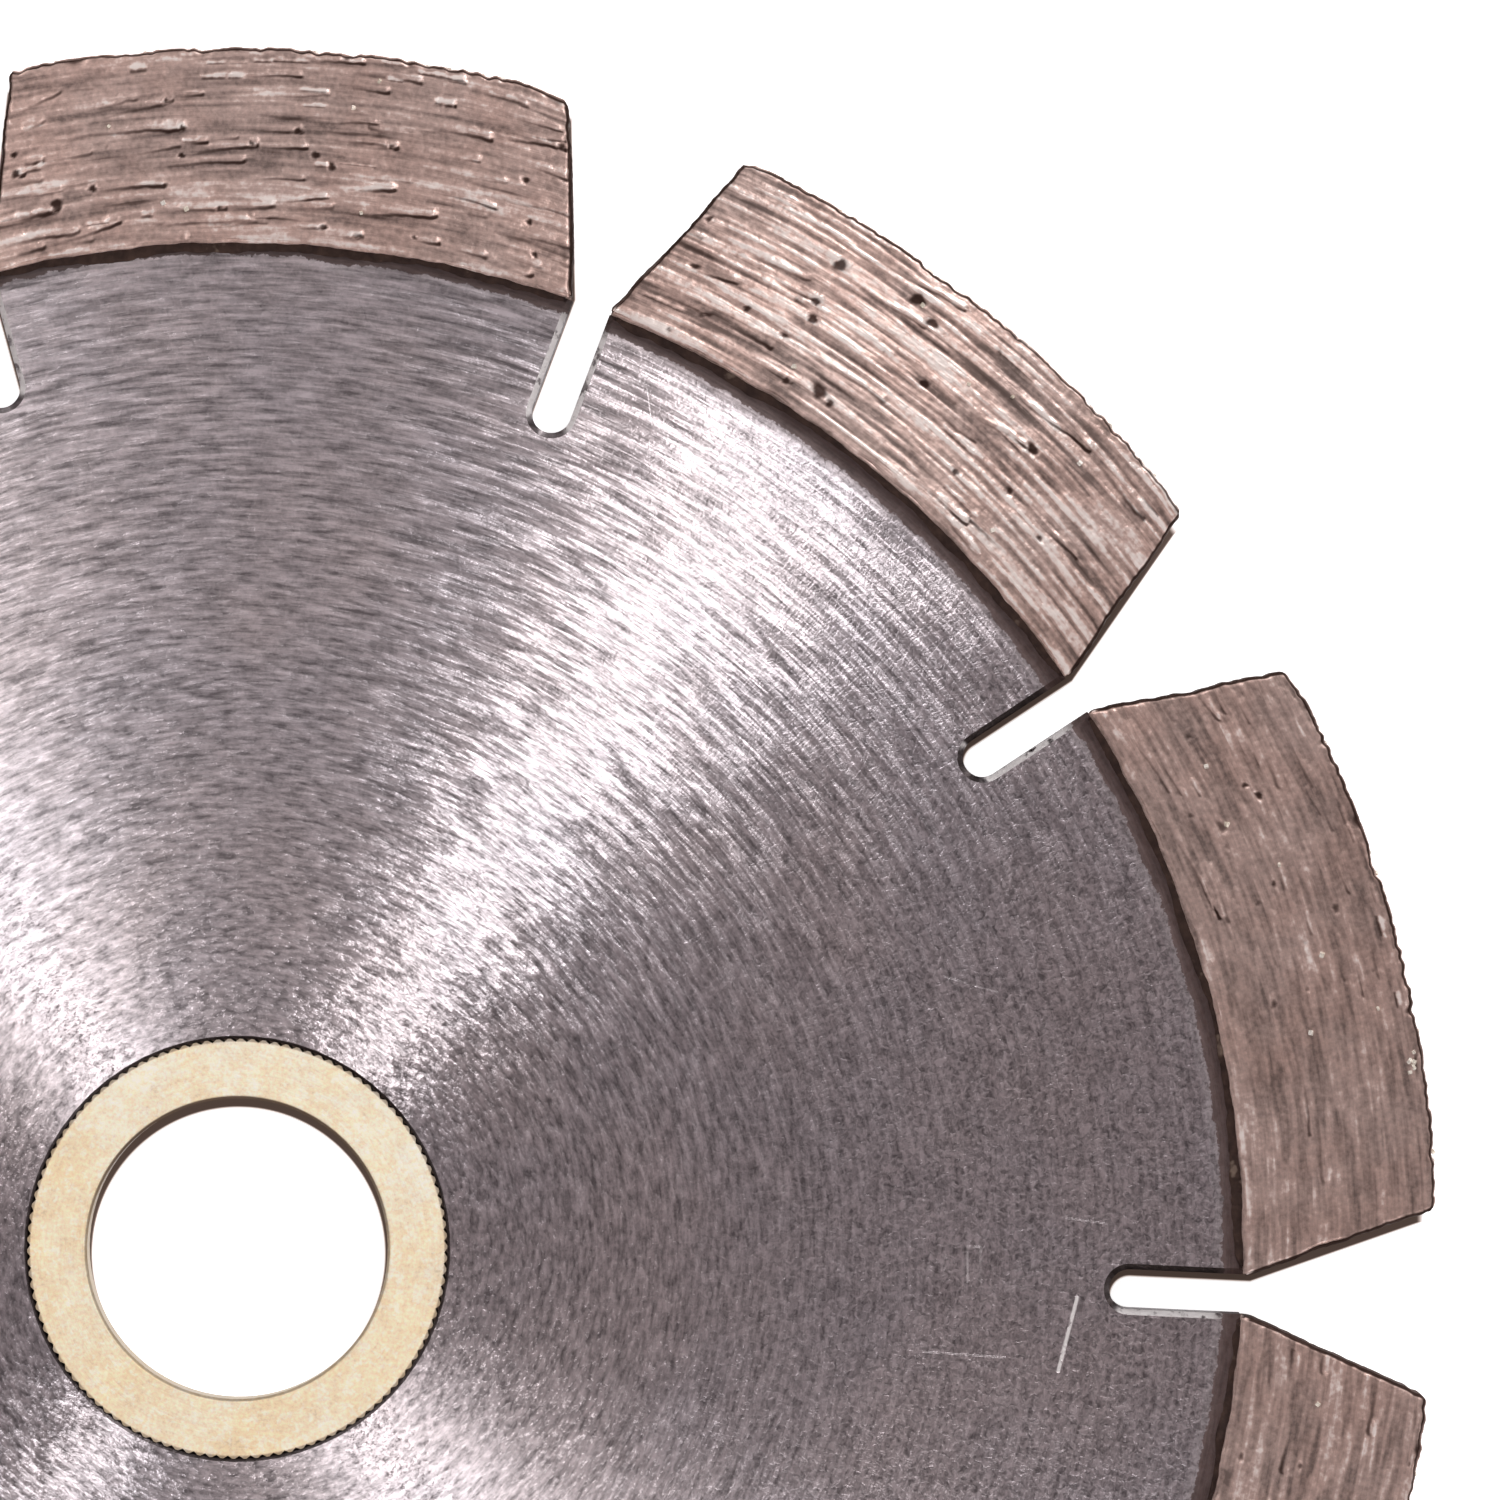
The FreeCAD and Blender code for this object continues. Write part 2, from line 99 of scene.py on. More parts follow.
# -------------------------------------------------------------- node helpers
class Nodes:
    """Builds one material's node tree."""

    def __init__(self, name):
        self.mat = bpy.data.materials.new(name)
        self.mat.use_nodes = True
        self.tree = self.mat.node_tree
        self.tree.nodes.clear()
        self.out = self.tree.nodes.new("ShaderNodeOutputMaterial")
        self.bsdf = self.tree.nodes.new("ShaderNodeBsdfPrincipled")
        self.link(self.bsdf.outputs[0], self.out.inputs[0])

    def link(self, a, b):
        self.tree.links.new(a, b)

    def put(self, socket, value):
        if hasattr(value, "is_output"):
            self.link(value, socket)
        elif isinstance(value, (tuple, list)):
            socket.default_value = tuple(value) + ((1.0,) if len(value) == 3 and len(socket.default_value) == 4 else ())
        else:
            socket.default_value = value

    def math(self, op, a, b=None, c=None, clamp=False):
        n = self.tree.nodes.new("ShaderNodeMath")
        n.operation = op
        n.use_clamp = clamp
        for i, v in enumerate((a, b, c)):
            if v is not None:
                self.put(n.inputs[i], v)
        return n.outputs[0]

    def vec(self, op, a, b=None, scale=None):
        n = self.tree.nodes.new("ShaderNodeVectorMath")
        n.operation = op
        self.put(n.inputs[0], a)
        if b is not None:
            self.put(n.inputs[1], b)
        if scale is not None:
            self.put(n.inputs["Scale"], scale)
        return n.outputs["Value"] if op in ("LENGTH", "DOT_PRODUCT", "DISTANCE") else n.outputs[0]

    def combine(self, x, y, z):
        n = self.tree.nodes.new("ShaderNodeCombineXYZ")
        for i, v in enumerate((x, y, z)):
            self.put(n.inputs[i], v)
        return n.outputs[0]

    def separate(self, v):
        n = self.tree.nodes.new("ShaderNodeSeparateXYZ")
        self.put(n.inputs[0], v)
        return n.outputs[0], n.outputs[1], n.outputs[2]

    def noise(self, vector, scale=1.0, detail=2.0, rough=0.5, distortion=0.0):
        n = self.tree.nodes.new("ShaderNodeTexNoise")
        n.noise_dimensions = "3D"
        self.put(n.inputs["Vector"], vector)
        self.put(n.inputs["Scale"], scale)
        self.put(n.inputs["Detail"], detail)
        self.put(n.inputs["Roughness"], rough)
        self.put(n.inputs["Distortion"], distortion)
        return n.outputs["Fac"]

    def voronoi(self, vector, scale, feature="DISTANCE_TO_EDGE", randomness=1.0):
        n = self.tree.nodes.new("ShaderNodeTexVoronoi")
        n.feature = feature
        self.put(n.inputs["Vector"], vector)
        self.put(n.inputs["Scale"], scale)
        self.put(n.inputs["Randomness"], randomness)
        return n.outputs["Distance"]

    def ramp(self, value, low, high, to_low=0.0, to_high=1.0, smooth=True):
        n = self.tree.nodes.new("ShaderNodeMapRange")
        n.interpolation_type = "SMOOTHSTEP" if smooth else "LINEAR"
        n.clamp = True
        for name, v in (("Value", value), ("From Min", low), ("From Max", high), ("To Min", to_low), ("To Max", to_high)):
            self.put(n.inputs[name], v)
        return n.outputs[0]

    def mix(self, factor, a, b, blend="MIX"):
        n = self.tree.nodes.new("ShaderNodeMix")
        n.data_type = "RGBA"
        n.blend_type = blend
        self.put(n.inputs[0], factor)
        self.put(n.inputs[6], a)
        self.put(n.inputs[7], b)
        return n.outputs[2]

    def bump(self, height, strength, distance, normal=None):
        n = self.tree.nodes.new("ShaderNodeBump")
        self.put(n.inputs["Strength"], strength)
        self.put(n.inputs["Distance"], distance)
        self.put(n.inputs["Height"], height)
        if normal is not None:
            self.link(normal, n.inputs["Normal"])
        return n.outputs[0]

    def attribute(self, name):
        n = self.tree.nodes.new("ShaderNodeAttribute")
        n.attribute_type = "GEOMETRY"
        n.attribute_name = name
        return n.outputs["Fac"]

    def object_coords(self):
        return self.tree.nodes.new("ShaderNodeTexCoord").outputs["Object"]

    def true_normal(self):
        return self.tree.nodes.new("ShaderNodeNewGeometry").outputs["Normal"]

    def polar(self):
        """Object position, radius, and the unit radial and tangential directions about the blade's axis."""
        p = self.object_coords()
        x, y, z = self.separate(p)
        flat = self.combine(x, y, 0.0)
        r = self.vec("LENGTH", flat)
        radial = self.vec("NORMALIZE", flat)
        rx, ry, _ = self.separate(radial)
        tangent = self.combine(self.math("MULTIPLY", ry, -1.0), rx, 0.0)
        return p, (x, y, z), r, radial, tangent

    def arcs(self, r, radial, angular, per_metre, offset=0.0):
        """Coordinates whose noise makes streaks that run round the axis, with no seam."""
        around = self.vec("SCALE", radial, scale=angular)
        ax, ay, _ = self.separate(around)
        return self.combine(ax, ay, self.math("MULTIPLY_ADD", r, per_metre, offset))


def srgb(r, g, b):
    """Linear colour from 0..255 display values."""
    return tuple((c / 255.0 / 12.92) if c / 255.0 <= 0.04045 else ((c / 255.0 + 0.055) / 1.055) ** 2.4 for c in (r, g, b))


# ---------------------------------------------------------------- core steel
# Handling marks that the face carries: start and end points in millimetres, width, brightness.
MARKS = [
    ((44.42, -0.57), (43.60, -4.46), 0.14, 0.95),
    ((38.60, 0.01), (38.51, 1.85), 0.08, 0.30),
    ((38.51, 1.85), (39.20, 1.88), 0.08, 0.28),
    ((39.20, 1.88), (39.28, 0.04), 0.08, 0.30),
    ((36.40, -3.78), (40.78, -3.89), 0.06, 0.22),
    ((36.66, 16.06), (39.50, 15.35), 0.06, 0.22),
    ((43.65, 3.61), (46.00, 3.40), 0.06, 0.20),
    ((19.60, 46.30), (19.95, 44.40), 0.06, 0.20),
    ((-18.0, -31.0), (-15.2, -33.4), 0.08, 0.40),
    ((-36.0, 14.0), (-33.1, 15.1), 0.07, 0.35),
    ((12.0, -40.0), (15.5, -38.2), 0.07, 0.35),
]


def core_material():
    m = Nodes("core_steel_brushed")
    p, (x, y, z), r, radial, tangent = m.polar()
    geo_n = m.true_normal()
    _, _, nz = m.separate(geo_n)
    face = m.ramp(m.math("ABSOLUTE", nz), 0.9, 0.98)

    # brushing: arcs of several lengths, each far narrower than it is long
    stroke = m.noise(m.arcs(r, radial, 19.0, 3400.0), detail=1.5, rough=0.55)
    fine = m.noise(m.arcs(r, radial, 42.0, 7600.0, 33.0), detail=2.0, rough=0.6)
    coarse = m.noise(m.arcs(r, radial, 9.0, 2300.0, 40.0), detail=2.0, rough=0.55)
    longs = m.noise(m.arcs(r, radial, 4.5, 1100.0, 90.0), detail=3.0, rough=0.6)
    cloud = m.noise(p, scale=75.0, detail=4.0, rough=0.6)
    speck = m.noise(p, scale=2600.0, detail=2.0, rough=0.6)

    # cross grain: short strokes that run outwards, near the rim and on one side
    side = m.ramp(x, 0.004, 0.040)
    crossing = m.noise(m.arcs(r, radial, 330.0, 620.0, 300.0), detail=1.0, rough=0.5)
    outer = m.math("MULTIPLY", m.ramp(r, 0.034, 0.050), m.ramp(x, 0.012, 0.026))
    cross_gate = m.math("MULTIPLY", m.math("MAXIMUM", side, m.math("MULTIPLY", outer, 0.75)), m.ramp(m.noise(p, scale=190.0, detail=2.0), 0.38, 0.62))
    crossing = m.math("MULTIPLY", m.math("SUBTRACT", crossing, 0.5), cross_gate)

    # fine handling scratches in four directions, slightly bent
    bend = m.math("MULTIPLY", m.math("SUBTRACT", m.noise(p, scale=210.0, detail=1.0), 0.5), 0.0042)
    hair = None
    for k, (angle, per_len, gate_low) in enumerate(((22.0, 1050.0, 0.61), (71.0, 900.0, 0.62), (118.0, 1150.0, 0.61), (164.0, 980.0, 0.62))):
        ca, sa = math.cos(math.radians(angle)), math.sin(math.radians(angle))
        along = m.math("ADD", m.math("MULTIPLY", x, ca * per_len), m.math("MULTIPLY", y, sa * per_len))
        across = m.math("ADD", m.math("MULTIPLY", m.math("ADD", x, bend), -sa * 6200.0), m.math("MULTIPLY", m.math("ADD", y, bend), ca * 6200.0))
        line = m.ramp(m.noise(m.combine(along, across, 7.0 + 11.0 * k), detail=0.0), gate_low, gate_low + 0.10)
        hair = line if hair is None else m.math("MAXIMUM", hair, line)
    hair = m.math("MULTIPLY", hair, m.math("MULTIPLY_ADD", side, 0.80, 0.20))
    flat = m.combine(x, y, 0.0)
    marks = None
    for (x0, y0), (x1, y1), width, bright in MARKS:
        e = Vector(((x1 - x0) * MM, (y1 - y0) * MM, 0.0))
        rel = m.vec("SUBTRACT", flat, (x0 * MM, y0 * MM, 0.0))
        t = m.math("MULTIPLY", m.vec("DOT_PRODUCT", rel, tuple(e)), 1.0 / e.length_squared, clamp=True)
        d = m.vec("LENGTH", m.vec("SUBTRACT", rel, m.vec("SCALE", tuple(e), scale=t)))
        mark = m.ramp(d, 0.35 * width * MM, width * MM, bright, 0.0)
        marks = mark if marks is None else m.math("MAXIMUM", marks, mark)
    marks = m.math("MULTIPLY", m.math("MULTIPLY", marks, face), m.ramp(m.noise(p, scale=1700.0, detail=2.0), 0.36, 0.50, 0.35, 1.0))

    # colour
    right = m.ramp(x, 0.016, 0.040)
    mottle = m.math("SUBTRACT", m.noise(p, scale=3000.0, detail=2.0, rough=0.6, distortion=1.1), 0.5)
    tone = m.math("MULTIPLY", m.math("SUBTRACT", stroke, 0.5), 2.1)
    tone = m.math("MULTIPLY_ADD", m.math("SUBTRACT", fine, 0.5), 1.1, tone)
    tone = m.math("MULTIPLY_ADD", m.math("SUBTRACT", coarse, 0.5), 0.5, tone)
    tone = m.math("MULTIPLY_ADD", tone, m.math("MULTIPLY_ADD", right, -0.55, 1.0), 1.0)
    tone = m.math("MULTIPLY_ADD", crossing, 0.35, tone)
    tone = m.math("MULTIPLY_ADD", m.math("SUBTRACT", cloud, 0.5), 0.22, tone)
    tone = m.math("MULTIPLY_ADD", mottle, m.math("MULTIPLY_ADD", right, 1.7, 0.75), tone)
    tone = m.math("MULTIPLY_ADD", m.math("SUBTRACT", speck, 0.5), 0.4, tone)
    tone = m.math("MULTIPLY_ADD", hair, 0.16, tone)
    tone = m.math("MULTIPLY", tone, m.math("MULTIPLY_ADD", face, 0.45, 0.55))
    tone = m.math("MAXIMUM", m.math("MINIMUM", tone, 1.55), 0.45)
    base = m.mix(m.ramp(cloud, 0.3, 0.7), (0.612, 0.568, 0.597), (0.617, 0.553, 0.563))
    colour = m.vec("SCALE", base, scale=m.math("MULTIPLY", tone, m.math("MULTIPLY_ADD", side, -0.04, 1.0)))
    # heat tint and flux stain where the segments were brazed on, with painted shade of the segments' step laid over the
    # same band
    wide = m.ramp(m.noise(m.arcs(r, radial, 3.2, 0.0, 51.0), detail=1.0), 0.35, 0.65)
    wide = m.math("MAXIMUM", wide, m.ramp(x, 0.012, 0.028))
    edge = m.math("MULTIPLY_ADD", wide, -0.00050, 0.05250)
    edge = m.math("MULTIPLY_ADD", m.math("SUBTRACT", m.noise(m.arcs(r, radial, 38.0, 300.0, 17.0), detail=3.0), 0.5), 0.00055, edge)
    edge = m.math("MULTIPLY_ADD", m.math("SUBTRACT", m.noise(p, scale=2300.0, detail=3.0, rough=0.7), 0.5), 0.00060, edge)
    past = m.math("SUBTRACT", r, edge)
    halo = m.math("MULTIPLY", m.ramp(past, -0.0006, 0.0), m.math("MULTIPLY_ADD", wide, 0.30, 0.15))
    stain_and_shade = m.math("MAXIMUM", m.ramp(past, -0.00004, 0.00008, 0.0, 0.96), halo)
    burnt_and_shade = m.mix(m.ramp(past, 0.00005, 0.00050), (0.075, 0.050, 0.046), (0.048, 0.029, 0.026))
    burnt_and_shade = m.vec("SCALE", burnt_and_shade, scale=m.math("MULTIPLY", m.math("MULTIPLY_ADD", m.math("SUBTRACT", fine, 0.5), 1.2, 1.0), m.math("MULTIPLY_ADD", wide, 0.60, 1.0)))
    _, ny, _ = m.separate(geo_n)
    off_face = m.math("SUBTRACT", 1.0, face)
    # painted highlight: chamfers outside the bore that do not face -Y are painted pale and less metallic, broken up by
    # noise; the gullets' inner ends are left out
    highlight_breakup = m.ramp(m.noise(p, scale=1500.0, detail=3.0, rough=0.6), 0.34, 0.48)
    bright = m.math("MULTIPLY", m.math("MULTIPLY", off_face, m.ramp(m.math("ABSOLUTE", nz), 0.35, 0.55)), m.math("MULTIPLY", highlight_breakup, m.math("MULTIPLY", m.ramp(ny, -0.46, -0.34), m.ramp(r, 0.020, 0.021))))
    closed = m.math("MULTIPLY", m.ramp(m.vec("DOT_PRODUCT", geo_n, radial), 0.22, 0.52), m.ramp(r, 0.040, 0.041))
    bright = m.math("MULTIPLY", bright, m.math("SUBTRACT", 1.0, closed))
    # painted shade: walls and chamfers facing -Y, the gullets' inner ends (more towards +X) and all walls within 20 mm
    # of the axis, under the bushing, are painted near black
    painted_edge_shade = m.math("MAXIMUM", m.ramp(ny, -0.36, -0.48), m.math("MULTIPLY", closed, m.math("MULTIPLY_ADD", right, 0.50, 0.42)))
    painted_edge_shade = m.math("MULTIPLY", off_face, m.math("MAXIMUM", painted_edge_shade, m.ramp(r, 0.020, 0.021, 0.78, 0.0)))
    colour = m.mix(bright, colour, (0.86, 0.83, 0.82))
    colour = m.mix(m.math("MULTIPLY", painted_edge_shade, 0.93), colour, (0.050, 0.036, 0.033))
    colour = m.mix(stain_and_shade, colour, burnt_and_shade)
    colour = m.mix(marks, colour, (0.93, 0.90, 0.88))
    m.link(colour, m.bsdf.inputs["Base Color"])
    dull = m.math("MAXIMUM", m.math("MULTIPLY", stain_and_shade, 0.9), m.math("MULTIPLY", marks, 0.8))
    dull = m.math("MAXIMUM", dull, m.math("MULTIPLY", bright, 0.7))
    m.link(m.math("SUBTRACT", 1.0, dull), m.bsdf.inputs["Metallic"])

    rough = m.math("MULTIPLY_ADD", m.math("SUBTRACT", coarse, 0.5), 0.14, 0.38)
    rough = m.math("MULTIPLY_ADD", stain_and_shade, 0.2, rough)
    m.link(rough, m.bsdf.inputs["Roughness"])
    m.bsdf.inputs["Anisotropic"].default_value = 0.97
    m.bsdf.inputs["Anisotropic Rotation"].default_value = 0.25
    m.link(tangent, m.bsdf.inputs["Tangent"])

    height = m.math("MULTIPLY_ADD", stroke, 1.5, fine)
    height = m.math("MULTIPLY_ADD", longs, 1.0, height)
    height = m.math("MULTIPLY", height, m.math("MULTIPLY_ADD", right, -0.5, 1.0))
    height = m.math("MULTIPLY_ADD", crossing, 0.25, height)
    height = m.math("MULTIPLY_ADD", mottle, m.math("MULTIPLY_ADD", m.math("MAXIMUM", right, outer), 0.35, 0.25), height)
    height = m.math("MULTIPLY_ADD", hair, -0.06, height)
    height = m.math("MULTIPLY_ADD", marks, -0.8, height)
    n = m.bump(height, 0.6, 0.00004)
    # each groove leans a little along its own run, which breaks up the edges of the reflected fans
    lean = m.ramp(m.noise(m.arcs(r, radial, 11.0, 3600.0, 210.0), detail=1.0, rough=0.5), 0.45, 0.55, -0.5, 0.5)
    lean1 = m.ramp(m.noise(m.arcs(r, radial, 24.0, 7600.0, 230.0), detail=1.5, rough=0.6), 0.42, 0.58, -0.5, 0.5)
    lean2 = m.math("SUBTRACT", m.noise(m.arcs(r, radial, 8.0, 1300.0, 260.0), detail=2.0, rough=0.6), 0.5)
    lean = m.math("MULTIPLY_ADD", lean, 0.048, m.math("MULTIPLY_ADD", lean1, 0.030, m.math("MULTIPLY", lean2, 0.022)))
    lean = m.math("MULTIPLY", lean, face)
    n = m.vec("NORMALIZE", m.vec("ADD", n, m.vec("SCALE", tangent, scale=lean)))
    m.link(n, m.bsdf.inputs["Normal"])
    return m.mat


# ------------------------------------------------------------------- bushing
def bushing_material():
    m = Nodes("bushing_satin_gold")
    p, (x, y, z), r, radial, tangent = m.polar()
    turning = m.noise(m.arcs(r, radial, 5.0, 5200.0), detail=3.0, rough=0.6)
    mottle = m.noise(p, scale=520.0, detail=5.0, rough=0.65)
    grain = m.noise(p, scale=5200.0, detail=2.0, rough=0.6)
    patch = m.noise(p, scale=160.0, detail=3.0, rough=0.55)
    base = m.mix(m.ramp(patch, 0.35, 0.68), (0.985, 0.900, 0.72), (0.965, 0.838, 0.615))
    # more orange and a little darker towards -X and -Y, broken up by patches
    lower_left_tint = m.math("MULTIPLY_ADD", x, -50.0, m.math("MULTIPLY_ADD", y, -45.0, m.math("MULTIPLY", m.math("SUBTRACT", patch, 0.5), 2.2)))
    base = m.mix(m.math("MULTIPLY", m.ramp(lower_left_tint, -0.30, 0.75), 0.75), base, (0.94, 0.750, 0.475))
    tarnish = m.ramp(m.noise(p, scale=240.0, detail=5.0, rough=0.7), 0.50, 0.72)
    base = m.mix(m.math("MULTIPLY", tarnish, 0.45), base, (0.90, 0.69, 0.41))
    fleck = m.ramp(m.noise(p, scale=1900.0, detail=2.0, rough=0.6), 0.42, 0.62)
    base = m.mix(m.math("MULTIPLY", fleck, 0.40), base, (0.86, 0.67, 0.41))
    pale = m.ramp(m.noise(p, scale=2300.0, detail=2.0, rough=0.6), 0.52, 0.64)
    base = m.mix(m.math("MULTIPLY", pale, 0.42), base, (1.0, 0.955, 0.84))
    tone = m.math("MULTIPLY_ADD", m.math("SUBTRACT", mottle, 0.5), 0.45, 1.125)
    tone = m.math("MULTIPLY_ADD", m.math("SUBTRACT", grain, 0.5), 0.60, tone)
    tone = m.math("MULTIPLY_ADD", m.math("SUBTRACT", turning, 0.5), 0.30, tone)
    # painted shade in the knurl, where the bushing meets the core, and a dark line of painted shade round the arbor
    # bore, darker towards +Y
    knurl_shade = m.math("MULTIPLY", m.ramp(r, 0.01088, 0.01100), 0.62)
    top = m.ramp(m.math("DIVIDE", y, r), -0.2, 0.75)
    lip_edge = m.math("MULTIPLY_ADD", top, 0.00001, 0.00806)
    lip = m.math("MULTIPLY", m.ramp(m.math("SUBTRACT", r, lip_edge), -0.00004, 0.00005, 1.0, 0.0), m.math("MULTIPLY_ADD", top, 0.35, 0.62))
    colour = m.vec("SCALE", base, scale=tone)
    colour = m.mix(m.math("MAXIMUM", knurl_shade, lip), colour, (0.105, 0.060, 0.036))
    m.link(colour, m.bsdf.inputs["Base Color"])
    m.bsdf.inputs["Metallic"].default_value = 0.55
    m.link(m.math("MULTIPLY_ADD", m.math("SUBTRACT", mottle, 0.5), 0.25, 0.50), m.bsdf.inputs["Roughness"])
    n = m.bump(m.math("MULTIPLY_ADD", grain, 0.7, m.math("MULTIPLY_ADD", turning, 0.9, mottle)), 0.5, 0.00003)
    m.link(n, m.bsdf.inputs["Normal"])
    return m.mat


# ------------------------------------------------------------------ segments
def segment_material():
    m = Nodes("segment_bond_sintered")
    p, (x, y, z), r, radial, tangent = m.polar()
    # painted shade: this attribute darkens pits, grooves, the lines under ledges and the segment edges
    cavity_shade = m.attribute("cavity_shade")      # 0 on the ridges, 1 in pits and grooves
    # this attribute also carries painted highlights: the tops of ledges, a line along the root edge and the rims of
    # pits
    streak_and_highlight = m.attribute("streak_and_highlight")      # long light and dark bands, 0.5 on average
    grind = m.noise(m.arcs(m.math("ADD", r, z), radial, 26.0, 6000.0), detail=3.0, rough=0.65)
    grain = m.noise(p, scale=3400.0, detail=3.0, rough=0.6)
    blotch = m.noise(p, scale=380.0, detail=4.0, rough=0.6)
    warm = m.ramp(m.noise(p, scale=170.0, detail=4.0, rough=0.6), 0.36, 0.64)
    base = m.mix(warm, (0.520, 0.366, 0.316), (0.520, 0.385, 0.340))
    tone = m.math("MULTIPLY_ADD", m.math("SUBTRACT", streak_and_highlight, 0.5), 1.5, 1.0)
    tone = m.math("MULTIPLY_ADD", m.math("SUBTRACT", grind, 0.5), 0.7, tone)
    tone = m.math("MULTIPLY_ADD", m.math("SUBTRACT", grain, 0.5), 1.1, tone)
    tone = m.math("MULTIPLY_ADD", m.math("SUBTRACT", blotch, 0.5), 0.6, tone)
    tone = m.math("MAXIMUM", m.math("MINIMUM", tone, 1.8), 0.4)
    colour = m.vec("SCALE", base, scale=tone)
    # the lightest tones turn pale cream and less metallic: partly the polished ridges' own colour, partly a painted
    # highlight
    light = m.ramp(tone, 1.22, 1.75)
    colour = m.mix(m.math("MULTIPLY", light, 0.85), colour, (0.88, 0.81, 0.76))
    # painted shade: the hollows are mixed towards near black and made more metallic, so they stay dark
    hollow_shade = m.ramp(cavity_shade, 0.10, 0.90, 0.0, 0.97)
    colour = m.mix(hollow_shade, colour, (0.062, 0.034, 0.027))
    m.link(colour, m.bsdf.inputs["Base Color"])
    m.link(m.math("MULTIPLY_ADD", hollow_shade, 0.36, m.math("MULTIPLY_ADD", light, -0.42, 0.62)), m.bsdf.inputs["Metallic"])
    rough = m.math("MULTIPLY_ADD", m.math("SUBTRACT", streak_and_highlight, 0.5), -0.45, 0.43)
    rough = m.math("MULTIPLY_ADD", m.math("SUBTRACT", blotch, 0.5), 0.15, rough)
    m.link(m.math("MULTIPLY_ADD", cavity_shade, 0.3, m.math("MAXIMUM", rough, 0.28)), m.bsdf.inputs["Roughness"])
    m.bsdf.inputs["Anisotropic"].default_value = 0.85
    m.bsdf.inputs["Anisotropic Rotation"].default_value = 0.25
    m.link(tangent, m.bsdf.inputs["Tangent"])
    n = m.bump(m.math("MULTIPLY_ADD", grain, 0.7, grind), 0.6, 0.00004)
    m.link(n, m.bsdf.inputs["Normal"])
    return m.mat


# --------------------------------------------------------------------- braze
def braze_material():
    m = Nodes("braze_filler_oxidised")
    p, (x, y, z), r, radial, tangent = m.polar()
    lump = m.noise(p, scale=900.0, detail=4.0, rough=0.65)
    fleck = m.noise(p, scale=2600.0, detail=3.0, rough=0.6)
    clean = m.ramp(m.noise(p, scale=520.0, detail=3.0, rough=0.6), 0.63, 0.70)
    base = m.mix(m.ramp(lump, 0.3, 0.7), (0.040, 0.022, 0.018), (0.085, 0.050, 0.038))
    base = m.mix(m.math("MULTIPLY", clean, 0.45), base, (0.42, 0.32, 0.25))
    tone = m.math("MULTIPLY_ADD", m.math("SUBTRACT", fleck, 0.5), 0.9, 1.0)
    m.link(m.vec("SCALE", base, scale=tone), m.bsdf.inputs["Base Color"])
    m.bsdf.inputs["Metallic"].default_value = 0.6
    m.link(m.math("MULTIPLY_ADD", lump, 0.3, 0.50), m.bsdf.inputs["Roughness"])
    m.link(m.bump(m.math("MULTIPLY_ADD", lump, 1.4, fleck), 0.5, 0.00005), m.bsdf.inputs["Normal"])
    return m.mat


# ------------------------------------------------------------------- diamond
def diamond_material():
    m = Nodes("diamond_grain")
    p = m.object_coords()
    hue = m.noise(p, scale=700.0, detail=1.0)
    cloud = m.noise(p, scale=9000.0, detail=2.0)
    base = m.mix(m.ramp(hue, 0.35, 0.65), (0.78, 0.70, 0.56), (0.92, 0.88, 0.80))
    m.link(m.vec("SCALE", base, scale=m.math("MULTIPLY_ADD", cloud, 0.8, 0.6)), m.bsdf.inputs["Base Color"])
    m.bsdf.inputs["Metallic"].default_value = 0.15
    m.bsdf.inputs["IOR"].default_value = 2.2
    m.link(m.math("MULTIPLY_ADD", cloud, 0.2, 0.10), m.bsdf.inputs["Roughness"])
    return m.mat


# --------------------------------------------------------------- mesh makers
def make_object(name, verts, faces, material, attributes=None, smooth=True):
    """verts in millimetres. Triangles and quads may be mixed by giving several face arrays."""
    mesh = bpy.data.meshes.new(name)
    groups = faces if isinstance(faces, list) else [faces]
    loops = np.concatenate([f.ravel() for f in groups]).astype(np.int32)
    totals = np.concatenate([np.full(len(f), f.shape[1]) for f in groups]).astype(np.int32)
    starts = np.concatenate([[0], np.cumsum(totals)[:-1]]).astype(np.int32)
    mesh.vertices.add(len(verts))
    mesh.vertices.foreach_set("co", (np.asarray(verts, float) * MM).astype(np.float32).ravel())
    mesh.loops.add(len(loops))
    mesh.loops.foreach_set("vertex_index", loops)
    mesh.polygons.add(len(totals))
    mesh.polygons.foreach_set("loop_start", starts)
    mesh.polygons.foreach_set("loop_total", totals)
    mesh.polygons.foreach_set("use_smooth", np.full(len(totals), bool(smooth)))
    mesh.update(calc_edges=True)
    mesh.validate()
    for key, values in (attributes or {}).items():
        a = mesh.attributes.new(key, "FLOAT", "POINT")
        a.data.foreach_set("value", np.asarray(values, np.float32))
    mesh.materials.append(material)
    obj = bpy.data.objects.new(name, mesh)
    bpy.context.scene.collection.objects.link(obj)
    return obj


def smooth_noise(rng, shape, sigma):
    """Gaussian-filtered white noise on a grid, mean 0 and deviation 1. sigma is in cells, one per axis."""
    white = np.fft.rfft2(rng.standard_normal(shape))
    fy = np.fft.fftfreq(shape[0])[:, None]
    fx = np.fft.rfftfreq(shape[1])[None, :]
    white *= np.exp(-2 * math.pi ** 2 * ((sigma[0] * fy) ** 2 + (sigma[1] * fx) ** 2))
    out = np.fft.irfft2(white, s=shape)
    return (out - out.mean()) / out.std()


